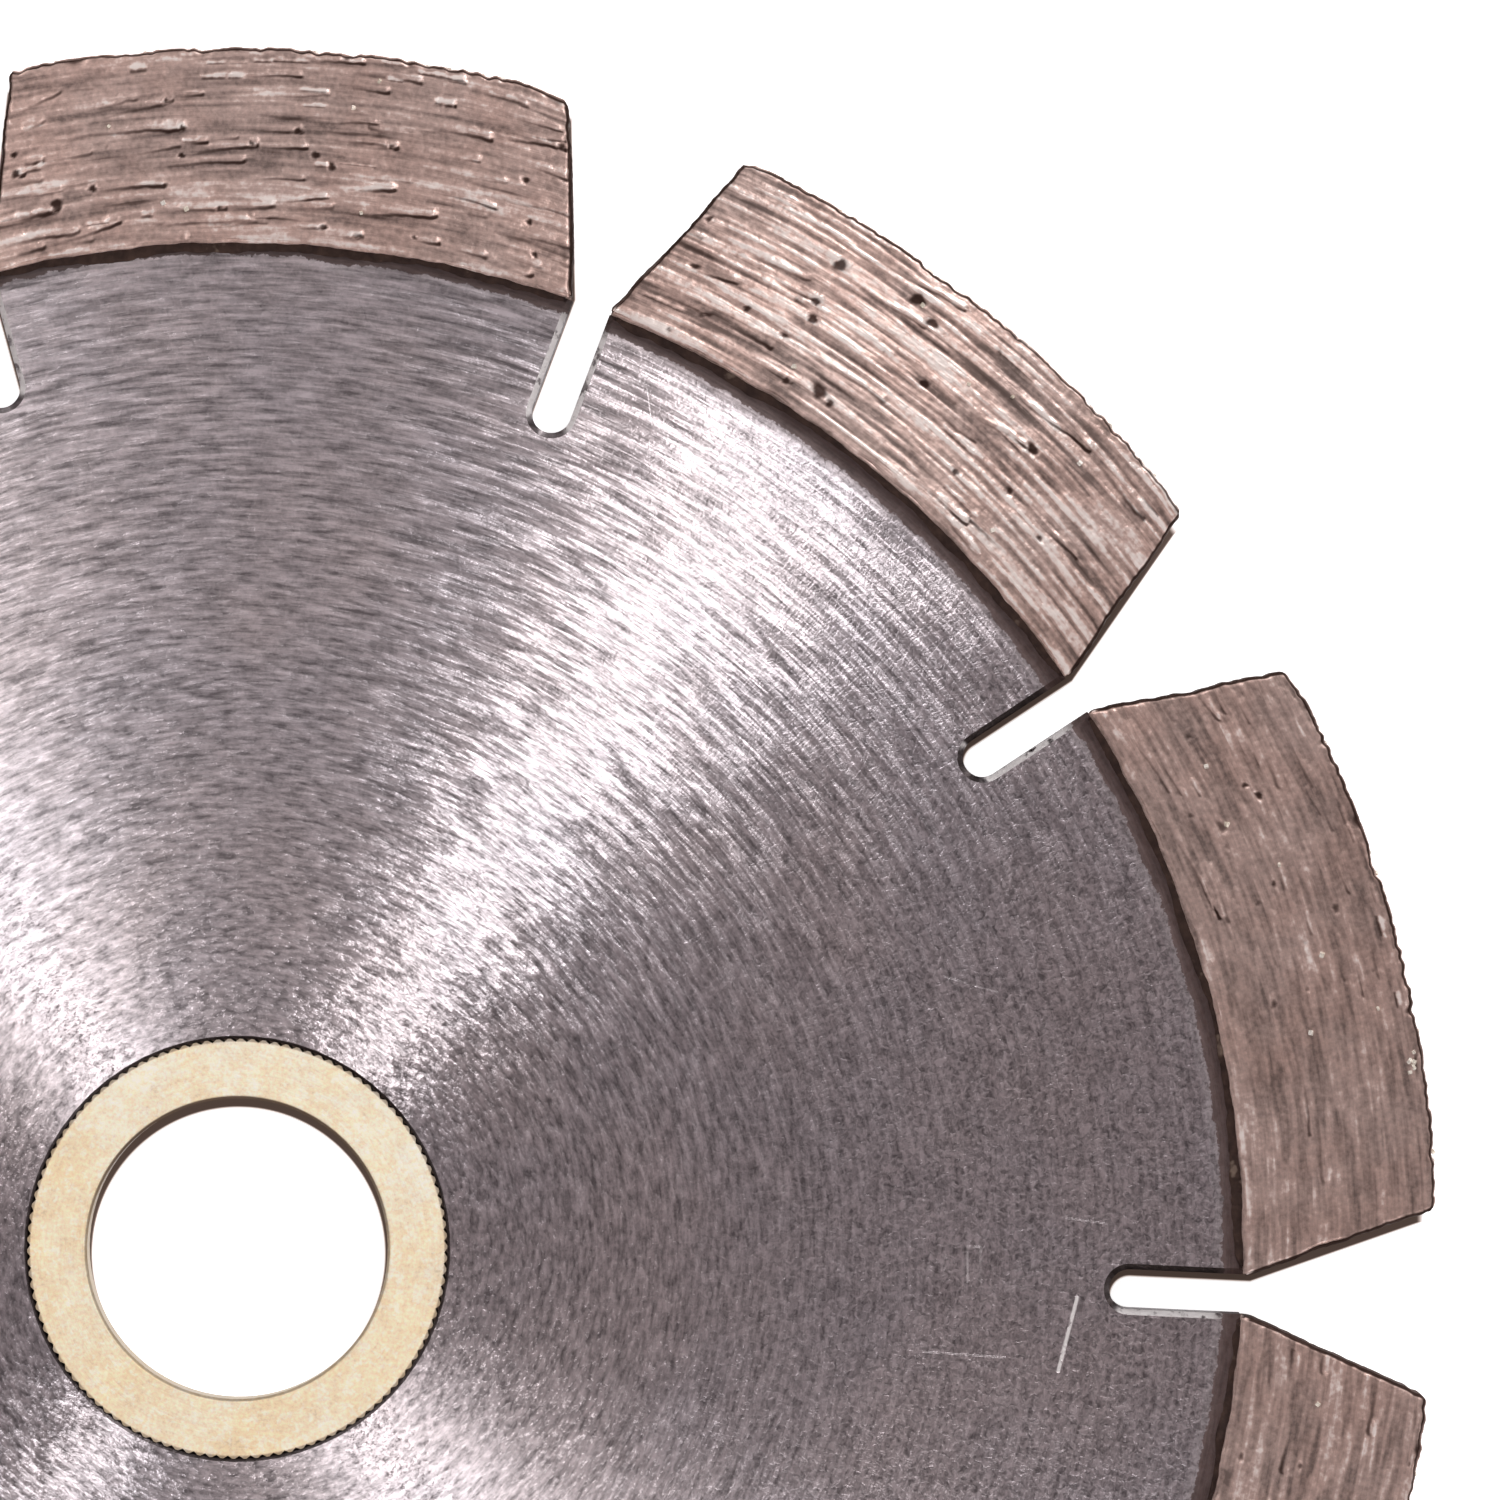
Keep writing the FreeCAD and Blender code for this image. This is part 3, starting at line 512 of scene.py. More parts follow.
def sample(grid, i, j):
    """Bilinear lookup, wrapping round."""
    n, k = grid.shape
    i0, j0 = np.floor(i).astype(int), np.floor(j).astype(int)
    fi, fj = i - i0, j - j0
    a = grid[i0 % n, j0 % k] * (1 - fj) + grid[i0 % n, (j0 + 1) % k] * fj
    b = grid[(i0 + 1) % n, j0 % k] * (1 - fj) + grid[(i0 + 1) % n, (j0 + 1) % k] * fj
    return a * (1 - fi) + b * fi


def spaced(half, step, rounding, n_round=4):
    """Positions from -half to half, closer together near both ends, where the edges are rounded."""
    start = -half + rounding * (1 - np.cos(np.linspace(0, math.pi / 2, n_round + 1)))
    inner = np.linspace(-half + rounding, half - rounding, max(2, int(round((2 * half - 2 * rounding) / step)) + 1))
    end = -start[::-1]
    return np.concatenate([start[:-1], inner, end[1:]])


def box_lattice(a, b, c):
    """The outside of a lattice with positions a, b and c along three axes: points and quads that face outwards, closed."""
    na, nb, nc = len(a), len(b), len(c)
    index = -np.ones((na, nb, nc), int)
    shell = np.zeros((na, nb, nc), bool)
    shell[0], shell[-1] = True, True
    shell[:, 0], shell[:, -1] = True, True
    shell[:, :, 0], shell[:, :, -1] = True, True
    where = np.argwhere(shell)
    index[tuple(where.T)] = np.arange(len(where))
    points = np.stack([a[where[:, 0]], b[where[:, 1]], c[where[:, 2]]], 1)

    def quads(grid, flip):
        q = np.stack([grid[:-1, :-1], grid[1:, :-1], grid[1:, 1:], grid[:-1, 1:]], -1).reshape(-1, 4)
        return q[:, ::-1] if flip else q

    faces = [
        quads(index[:, :, -1], False), quads(index[:, :, 0], True),
        quads(index[-1, :, :], False), quads(index[0, :, :], True),
        quads(index[:, -1, :], True), quads(index[:, 0, :], False),
    ]
    return points, np.concatenate(faces), where


def rotate(points, clockwise_degrees):
    a = math.radians(-clockwise_degrees)
    c, s = math.cos(a), math.sin(a)
    out = np.array(points, float)
    out[:, 0], out[:, 1] = c * points[:, 0] - s * points[:, 1], s * points[:, 0] + c * points[:, 1]
    return out


# A segment is worked out flat: a runs along it, b from root (-) to tip (+), c through its thickness.
HALF_B = (R_TIP - R_ROOT) / 2
SKIN_Z = 3.105        # bond surface on both sides; the grains stand a little proud of it
SKIN_TIP = 0.085      # bond surface below the outside diameter
ROUND = 0.30


def to_blade(a, b, c):
    """From a segment's flat coordinates (a is -1..1 along it) to the blade, segment centred on +Y."""
    share = (b + HALF_B) / (2 * HALF_B)
    radius = R_ROOT + (b + HALF_B)
    half = W_ROOT + (W_TIP - W_ROOT) * share
    x = a * half
    return np.stack([x, np.sqrt(np.maximum(radius * radius - x * x, 1.0)), c], -1)


STEP_A, STEP_B = 0.08, 0.04       # relief grid, along and across the grinding
GRID = (512, 400)                 # 41 mm by 16 mm
COARSE = (1.0, 0.80, 0.50, 0.55, 0.95, 0.70, 0.60, 0.90, 0.55, 0.80)   # how torn each segment's faces are
RIDGES = (0.13, 0.31, 0.12, 0.165, 0.15, 0.24, 0.12, 0.14, 0.12, 0.24)  # how strongly its grinding lines show
SIDES = {"front": (2, 1), "back": (2, -1), "tip": (1, 1), "root": (1, -1), "end_l": (0, -1), "end_r": (0, 1)}


# What the front faces of the first segments show, in each segment's own flat coordinates, millimetres.
# ledges and chips: start, blunt end, height above the middle, half width, strength; pits: along, across, radius, strength
LEDGES = {
    0: (
        (-14.86, -12.41, 3.14, 0.16, 0.7, 0.343), (-10.83, -6.31, 2.09, 0.15, 0.8, 0.159), (-6.13, -4.73, 2.67, 0.1, 0.8, 0.019), (-12.92, -5.58, 1.07, 0.16, 1.0, -0.018),
        (-9.36, -5.76, -0.15, 0.13, 0.7, 0.088), (-5.58, -4.36, 0.21, 0.14, 1.0, 0.033), (-4.21, -2.71, 0.36, 0.1, 0.6, 0.045), (-5.98, -1.69, -0.23, 0.14, 1.0, 0.134),
        (-1.62, 0.96, -0.05, 0.12, 1.0, 0.015), (-2.41, 0.67, 0.83, 0.13, 0.9, -0.01), (-7.21, -2.28, -0.9, 0.13, 0.9, 0.046), (-10.92, -6.48, -1.86, 0.17, 1.0, -0.011),
        (-2.67, 0.9, -1.73, 0.1, 0.8, 0.037), (-3.35, -0.66, -3.26, 0.18, 0.8, 0.102), (-0.98, 2.2, -2.8, 0.1, 1.1, 0.127), (-0.47, 2.39, -3.14, 0.15, 0.6, 0.089),
        (-6.85, -3.16, -3.36, 0.13, 0.8, 0.032), (-8.07, -1.94, -4.01, 0.15, 1.0, 0.014), (-11.67, -8.59, -4.03, 0.17, 1.0, 0.21), (-14.61, -11.95, -2.52, 0.28, 1.1, 0.128),
        (-14.72, -13.85, -0.32, 0.16, 1.1, -0.062), (-14.52, -12.42, -4.45, 0.15, 0.8, 0.124), (-9.9, -5.04, -4.85, 0.14, 0.8, 0.013), (0.21, 2.08, -4.21, 0.12, 0.9, 0.134),
        (2.23, 3.99, -4.48, 0.13, 0.8, 0.117), (-3.29, 0.53, 3.69, 0.1, 0.9, 0.03), (-14.81, -13.09, 1.88, 0.16, 0.6, 0.311), (-14.23, -10.38, 0.05, 0.13, 0.6, 0.041),
        (-5.8, -0.93, -4.28, 0.09, 0.6, 0.086), (-13.18, -10.06, -1.4, 0.12, 0.5, -0.001), (-2.36, 2.02, 2.66, 0.09, 0.6, 0.071), (-12.35, -8.87, 2.41, 0.1, 0.5, 0.084),
        (-5.75, 1.75, -5.37, 0.13, 0.5, 0.066), (-1.81, 3.71, 1.58, 0.09, 0.5, 0.027), (-14.15, -10.66, 3.53, 0.09, 0.4, -0.015), (2.73, 5.19, 3.34, 0.12, 0.9, 0.002),
        (7.41, 8.8, 3.08, 0.1, 1.0, 0.101), (0.83, 4.67, 1.44, 0.09, 0.8, 0.091), (4.59, 5.72, 0.46, 0.13, 1.0, 0.086), (3.37, 5.65, -1.85, 0.16, 1.1, 0.137),
        (2.9, 7.8, -3.05, 0.13, 1.1, 0.131), (6.4, 7.94, -4.13, 0.13, 0.9, 0.006), (6.81, 10.96, -1.52, 0.1, 0.9, -0.057), (7.92, 10.45, -2.31, 0.11, 0.6, 0.09),
        (9.21, 14.95, -1.09, 0.11, 0.7, 0.057), (10.39, 14.73, 2.17, 0.13, 1.1, 0.108), (12.24, 14.71, 2.6, 0.1, 0.9, 0.087), (11.91, 14.93, 0.92, 0.12, 0.8, -0.037),
        (8.86, 10.13, 0.46, 0.09, 0.7, 0.123), (10.89, 15.43, -2.7, 0.12, 0.8, 0.091), (8.28, 10.41, -4.27, 0.13, 0.8, 0.022), (11.25, 12.82, -4.75, 0.12, 1.0, 0.227),
        (13.87, 15.61, -3.51, 0.13, 1.0, 0.056), (8.37, 11.57, -0.35, 0.09, 0.5, 0.074), (5.88, 9.33, 1.65, 0.09, 0.5, 0.096), (9.23, 12.7, 4.06, 0.12, 0.7, 0.006),
        (6.27, 9.34, 4.51, 0.1, 0.7, -0.045), (2.29, 6.53, -1.38, 0.09, 0.5, 0.092), (10.41, 13.35, -4.06, 0.1, 0.6, 0.021),
    ),
    1: (
        (-9.75, -7.3, 0.31, 0.12, 1.0, 0.09), (-8.01, -0.99, 4.0, 0.1, 0.8, 0.14), (-13.61, -8.47, 0.82, 0.12, 0.7, 0.139), (-14.61, -11.23, -1.13, 0.12, 0.9, 0.158),
        (-4.09, 3.76, -0.7, 0.12, 0.7, 0.054), (2.34, 6.6, 0.85, 0.11, 1.0, 0.231), (1.84, 6.01, -4.06, 0.1, 1.0, 0.051), (2.39, 8.9, 2.95, 0.11, 1.0, 0.155),
        (3.34, 7.43, -4.48, 0.11, 0.9, -0.104), (-8.69, -5.68, -3.98, 0.1, 0.8, 0.039), (7.43, 11.77, -1.08, 0.1, 0.8, 0.1), (-14.82, -11.27, -3.03, 0.13, 0.8, 0.072),
        (-6.05, -2.08, 2.29, 0.1, 0.8, 0.084), (-6.93, -1.33, -2.07, 0.1, 0.7, 0.052),
    ),
    2: (
        (-14.87, -10.2, -3.75, 0.11, 0.6, 0.13), (-13.25, -9.86, -3.2, 0.09, 0.5, 0.15), (-7.91, -3.14, -3.86, 0.13, 0.9, 0.137), (-6.21, -1.15, -4.96, 0.12, 0.7, 0.107),
        (-15.01, -13.29, 0.49, 0.12, 0.7, 0.226), (-14.62, -12.8, 2.03, 0.11, 0.6, 0.022), (-11.68, -10.43, 1.5, 0.11, 0.6, -0.04), (-9.67, -7.11, 3.07, 0.1, 0.5, 0.243),
        (-4.43, -2.67, 3.3, 0.11, 0.6, 0.079), (-5.88, -3.68, 0.24, 0.1, 0.5, -0.029), (-3.53, -1.07, 0.8, 0.1, 0.5, 0.029), (0.38, 2.81, 2.65, 0.1, 0.6, 0.049),
        (-2.2, 0.0, -1.44, 0.1, 0.4, 0.034), (-8.4, -6.17, 3.64, 0.1, 0.5, -0.016), (-10.87, -9.56, -2.11, 0.1, 0.6, 0.092), (0.31, 2.73, -2.87, 0.1, 0.4, 0.05),
        (-0.78, 2.13, 3.68, 0.1, 0.5, 0.026), (-13.19, -11.19, 1.12, 0.1, 0.4, -0.063),
    ),
}
CHIPS = {
    0: (
        (0.63, 2.01, 2.95, 0.08, 0.8), (0.86, 1.92, 2.14, 0.07, 0.8), (-4.67, -3.51, 3.59, 0.1, 1.0), (-3.29, -2.64, 3.57, 0.09, 1.0),
        (-4.43, -3.55, 4.33, 0.08, 0.9), (-3.2, -2.32, 4.31, 0.07, 0.7), (-1.95, -1.04, 4.42, 0.08, 1.0), (-0.92, 0.94, 4.48, 0.09, 1.0),
        (-8.51, -7.8, 4.28, 0.15, 1.0), (1.56, 2.22, -0.91, 0.1, 0.9), (-13.54, -12.92, -0.25, 0.12, 1.0), (-14.61, -12.63, -2.55, 0.1, 0.7),
        (-7.67, -6.73, -1.92, 0.07, 0.7), (-5.45, -4.76, 0.21, 0.07, 0.8), (-10.21, -9.09, -3.66, 0.07, 0.9), (-12.79, -11.55, -1.69, 0.05, 0.4),
        (-11.9, -10.02, -4.93, 0.1, 0.7), (-7.29, -6.85, -3.47, 0.13, 1.0), (-14.52, -13.78, -4.57, 0.07, 0.7), (0.76, 1.95, 2.97, 0.07, 0.8),
        (0.79, 1.92, 2.16, 0.07, 0.8), (5.3, 6.03, 3.94, 0.08, 0.9), (5.0, 6.39, 4.8, 0.07, 0.7), (6.94, 9.33, 4.62, 0.11, 1.0),
        (10.83, 12.77, 4.1, 0.08, 0.8), (7.87, 8.76, 3.17, 0.1, 1.0), (3.26, 4.65, 1.96, 0.06, 0.6), (2.79, 4.77, -0.76, 0.05, 0.8),
        (14.0, 15.58, -3.52, 0.06, 0.7), (11.33, 12.79, 2.09, 0.05, 0.6), (5.12, 8.59, -5.27, 0.06, 0.5), (8.85, 11.25, -5.04, 0.07, 0.6),
    ),
    1: (
        (-12.54, -10.39, 0.43, 0.1, 0.8), (-13.23, -7.76, 3.84, 0.09, 0.7), (2.01, 4.16, -1.06, 0.1, 0.9), (4.26, 6.18, 0.79, 0.08, 0.9),
        (4.01, 6.26, -3.37, 0.08, 0.8), (1.59, 5.02, 3.92, 0.08, 0.7), (-14.36, -12.32, -3.46, 0.09, 0.8),
    ),
    2: (
        (-0.94, 0.06, 4.43, 0.12, 1.0), (3.24, 3.99, 4.36, 0.11, 1.0), (-7.2, -6.17, 4.44, 0.1, 0.7), (-5.96, -5.16, 4.48, 0.08, 0.7),
        (-2.61, -1.73, 4.54, 0.08, 0.6), (-12.31, -11.55, 4.12, 0.06, 0.6), (-15.41, -13.25, -4.66, 0.08, 0.6), (-5.36, -3.18, -3.84, 0.06, 0.6),
    ),
}
PITS = {
    0: (
        (-14.41, 0.56, 0.17, 0.9), (-10.04, -1.9, 0.18, 0.9), (-9.51, 0.21, 0.13, 0.45), (0.54, 0.73, 0.16, 0.95),
        (-5.58, 0.88, 0.12, 0.9), (-5.5, -0.6, 0.15, 0.95), (-11.86, -2.42, 0.26, 1.0), (-14.21, -0.43, 0.2, 0.9),
        (1.54, -0.49, 0.2, 0.9), (2.42, -1.02, 0.22, 0.9), (-3.35, -3.46, 0.14, 0.8), (-1.87, -0.01, 0.14, 0.8),
        (2.09, -4.21, 0.14, 0.85), (3.81, -4.54, 0.15, 0.85), (-6.55, 2.34, 0.13, 0.85), (12.69, 0.05, 0.18, 0.95),
        (12.86, -2.04, 0.17, 0.9), (13.13, -3.64, 0.15, 0.9), (14.64, 2.32, 0.16, 0.9), (5.53, 0.38, 0.13, 0.8),
        (4.05, -4.51, 0.13, 0.85), (6.8, -4.17, 0.12, 0.8), (8.48, 2.96, 0.12, 0.7),
    ),
    1: (
        (-7.6, 2.53, 0.3, 1.0), (-3.23, 3.3, 0.3, 1.0), (-1.82, 2.76, 0.24, 1.0), (-9.83, -1.88, 0.17, 0.9),
        (-6.85, -0.63, 0.24, 1.0), (-7.32, 0.23, 0.22, 0.9), (-7.42, -2.14, 0.16, 0.85), (-0.13, -0.02, 0.22, 1.0),
        (-4.15, -3.62, 0.34, 0.95), (-5.84, -4.13, 0.18, 0.85), (-3.33, -3.84, 0.2, 0.9), (6.5, 1.24, 0.28, 0.95),
        (4.01, -2.49, 0.18, 0.9), (6.86, -1.21, 0.17, 0.9), (-13.37, -1.14, 0.17, 0.85), (-14.57, 1.44, 0.17, 0.85),
        (9.62, -1.78, 0.17, 0.85), (-12.17, -4.75, 0.16, 0.8), (-2.36, -5.11, 0.18, 0.9), (-11.42, -3.32, 0.12, 0.6),
        (1.97, 3.8, 0.14, 0.6), (-2.84, 0.01, 0.12, 0.5),
    ),
    2: (
        (-9.47, 0.17, 0.17, 0.85), (-8.78, 0.61, 0.2, 0.9), (-7.62, -1.87, 0.24, 0.6), (-8.55, -3.08, 0.17, 0.6),
        (-12.66, -1.31, 0.15, 0.55), (-4.05, -0.39, 0.14, 0.75), (-3.28, -1.49, 0.18, 0.5), (-1.99, 2.31, 0.22, 0.65),
        (-3.89, -2.72, 0.14, 0.4), (2.07, -2.18, 0.2, 0.6), (1.75, -0.29, 0.15, 0.45), (-0.63, 0.22, 0.15, 0.4),
        (-6.53, -2.0, 0.13, 0.4), (1.83, 1.74, 0.13, 0.5), (-11.98, -0.35, 0.1, 0.4), (1.78, 3.32, 0.12, 0.45),
    ),
}


def stamp(grid, u, v, reach_u, reach_v):
    """The part of a relief grid near (u, v): its slices, and the distances from (u, v) along and across, in mm."""
    i0, i1 = int((u - reach_u + 20.5) / STEP_A), int((u + reach_u + 20.5) / STEP_A) + 2
    j0, j1 = int((v - reach_v + 8) / STEP_B), int((v + reach_v + 8) / STEP_B) + 2
    i0, j0 = max(i0, 0), max(j0, 0)
    i1, j1 = min(i1, grid.shape[0]), min(j1, grid.shape[1])
    du = (np.arange(i0, i1) * STEP_A - 20.5 - u)[:, None]
    dv = (np.arange(j0, j1) * STEP_B - 8 - v)[None, :]
    return (slice(i0, i1), slice(j0, j1)), du, dv


def ledge(grids, start, end, v, width, force, slope=0.0):
    """A low ridge that rises from nothing at `start` to a blunt `end`, painted lighter on top, with a lower step under
    it and round its end that is painted dark as a shadow.
    """
    depth, cavity_shade, streak_and_highlight = grids
    way, length = (1.0 if end > start else -1.0), abs(end - start)
    where, du, dv = stamp(depth, (start + end) / 2, v, length / 2 + 0.6, 1.2)
    along = (end - (du + (start + end) / 2)) * way       # 0 at the blunt end, growing down the tail
    share = np.clip(along / length, 0, 1)
    taper = (1 - share) ** 0.55 * (along < length)
    phase = 37.0 * v + 11.0 * start
    radius = width * (1 - 0.45 * share) * (1 + 0.20 * np.sin(3.1 * du + phase) + 0.14 * np.sin(8.3 * du + 2 * phase))
    curve = dv - slope * du - 0.035 * np.sin(2.3 * du + phase)
    reach = np.where(curve > 0, 0.62, 1.0) * curve       # the side towards the tip is the gentler one

    def inside(ahead, lift):
        c = reach + lift
        d = np.where(along + ahead > 0, np.abs(c), np.hypot(along + ahead, c))
        return taper / (1 + np.exp(np.clip((d - radius) / (0.17 * width), -40, 40)))

    ridge = inside(0.0, 0.0)
    shadow_under = inside(0.12, 0.75 * width + 0.09) * (1 - ridge / np.maximum(taper, 1e-3) * 0.9)
    depth[where] += force * (-0.050 * ridge + 0.022 * shadow_under)
    streak_and_highlight[where] += force * 0.22 * ridge
    cavity_shade[where] = np.maximum(cavity_shade[where] * (1 - 0.6 * ridge), 1.05 * force * shadow_under * (1 - 0.30 * share))


def burnish(grids, start, end, v, width, force):
    """A short bright smear with a painted shadow along its lower edge."""
    depth, cavity_shade, streak_and_highlight = grids
    where, du, dv = stamp(depth, (start + end) / 2, v, (end - start) / 2 + 0.4, 0.8)
    past = np.maximum(np.abs(du) - (end - start) / 2, 0)
    phase = 37.0 * v + 11.0 * start
    thick = width * (0.85 + 0.40 * np.sin(6.0 * du + phase) + 0.30 * np.sin(14.0 * du + 2 * phase))
    body = 1 / (1 + np.exp(np.clip((np.hypot(past, dv - 0.03 * np.sin(5.0 * du + phase)) - thick) / (0.30 * width), -40, 40)))
    shadow_under = 1 / (1 + np.exp(np.clip((np.hypot(past, dv + 1.7 * width) - 0.8 * width) / (0.25 * width), -40, 40)))
    depth[where] -= 0.015 * body
    streak_and_highlight[where] += 0.62 * force * body
    cavity_shade[where] = np.maximum(cavity_shade[where] * (1 - body), 0.8 * force * shadow_under * (1 - body))


def relief(index, side, half_a):
    """Depth below the surface, painted shade, and light bands with painted highlights, of one side of a segment, as
    grids.
    """
    order = list(SIDES).index(side)
    g = np.random.default_rng(9000 + index * 10 + order)
    face = SIDES[side][0] == 2
    coarse = COARSE[index]                            # some segments are ground rougher than others
    tight = 0.82 if RIDGES[index] > 0.3 else 1.0
    run = 0.42 if index in (2, 3) and face else 1.0   # shorter grinding marks
    lo = smooth_noise(g, GRID, (36 * run, 2.7 * tight))
    mi = smooth_noise(g, GRID, (18 * run, 2.1 * tight))
    sh = smooth_noise(g, GRID, (7, 1.7))
    ba = smooth_noise(g, GRID, (48, 10))
    bo = smooth_noise(g, GRID, (30, 5.5))
    gr = smooth_noise(g, GRID, (1.5, 1.6))
    patch = smooth_noise(g, GRID, (16, 20))
    dash = np.tanh(1.4 * smooth_noise(g, GRID, (5, 2.2)))
    lines = 0.60 * lo + 0.52 * mi + 0.22 * sh
    crisp = np.tanh(2.2 * lines)                      # flat-topped ridges with steep sides
    broad = np.tanh(1.5 * bo)
    depth = 0.085 - (0.015 if run == 1.0 else 0.021) * crisp - 0.012 * broad * coarse + 0.004 * gr + 0.008 * ba - 0.006 * dash
    deep = np.clip(-lines - (1.55 - 2.2 * RIDGES[index]), 0, 1.6) * coarse
    depth += 0.035 * deep
    cavity_shade = np.clip(deep * 0.55, 0, 0.6)
    streak_and_highlight = 0.5 + (0.05 if tight < 1 else -0.045 if index == 2 else 0.0) + RIDGES[index] * crisp + (0.05 * coarse + 0.03) * broad + 0.04 * sh + 0.04 * ba + 0.035 * patch + 0.055 * dash
    if not face:
        depth = 0.035 - 0.012 * lines + 0.012 * gr + 0.010 * ba
        cavity_shade = cavity_shade * 0.4
    limit_v = HALF_B if face else SKIN_Z
    grids = (depth, cavity_shade, streak_and_highlight)
    # ledges: behind a grain the bond stands as a low ridge with a blunt end, painted lighter as a highlight, and a
    # painted shadow runs under it as a dark line
    if face:
        for _ in range(int((16 if side == "front" and index in LEDGES else 62) * coarse)):
            length, width = g.uniform(1.3, 5.2), g.uniform(0.10, 0.19)
            end, v = g.uniform(-half_a + 0.8, half_a + 0.5), g.uniform(-limit_v + 0.3, limit_v - 0.3)
            way = 1.0 if g.random() < 0.85 else -1.0
            force = g.uniform(0.55, 1.05) * (0.35 + 0.65 * coarse)
            ledge(grids, end - way * length, end, v, width, force, g.uniform(-0.03, 0.03))
    else:
        for _ in range(22 if side == "tip" else 0):
            length, end = g.uniform(0.9, 2.6), g.uniform(-half_a, half_a)
            ledge(grids, end - length, end, g.uniform(-limit_v + 0.4, limit_v - 0.4), g.uniform(0.08, 0.12), 0.45)
    if side == "front":
        for u0, u1, v, width, force, lean in LEDGES.get(index, ()):
            ledge(grids, u0, u1, v, width, force, lean)
    # chips of bright, burnished bond along the outer edge
    for _ in range(int(7 * coarse) if face else 0):
        u, v = g.uniform(-half_a + 0.4, half_a - 1.2), limit_v - g.uniform(0.22, 0.60)
        burnish(grids, u, u + g.uniform(0.5, 1.5), v, g.uniform(0.06, 0.10), g.uniform(0.3, 0.6))
    if side == "front":
        for u0, u1, v, width, force in CHIPS.get(index, ()):
            burnish(grids, u0, u1, v, width, force)
    # pores and pulled-out grains, ragged, painted dark as shade inside, with a painted highlight on the raised rim
    holes = [(g.uniform(-half_a + 0.5, half_a - 0.5), g.uniform(-limit_v + 0.35, limit_v - 0.35), g.uniform(0.11, 0.20), 0.40 + 0.35 * coarse)
             for _ in range(int(g.integers(7, 12)) if face else (12 if side == "tip" else 5))]
    if side == "front" and index in PITS:
        holes = [(u, v, size, force) for u, v, size, force in PITS[index]]
    for u, v, size, force in holes:
        where, du, dv = stamp(depth, u, v, 1.1, 0.9)
        turn = np.arctan2(dv, du)
        ragged = 1 + 0.30 * np.sin(2 * turn + g.uniform(0, 6)) + 0.24 * np.sin(3 * turn + g.uniform(0, 6)) + 0.14 * np.sin(5 * turn + g.uniform(0, 6))
        away = np.sqrt(((du / g.uniform(1.0, 1.4)) ** 2 + dv ** 2) / ragged) / size
        pit = 1 / (1 + np.exp((away - 1) / 0.16))
        rim = np.exp(-((away - 1.45) / 0.30) ** 2)
        depth[where] += 0.065 * force * pit - 0.007 * rim
        cavity_shade[where] = np.maximum(cavity_shade[where] * (1 - 0.5 * rim), force * pit)
        streak_and_highlight[where] += 0.10 * force * rim
    # smeared bond: low flat islands, a little prouder and lighter
    isle = np.clip(smooth_noise(g, GRID, (9, 5)) - 1.55, 0, 0.5)
    depth -= 0.03 * isle
    streak_and_highlight += 0.18 * isle
    return np.maximum(depth, 0.0), np.clip(cavity_shade, 0, 1), np.clip(streak_and_highlight, 0, 1)


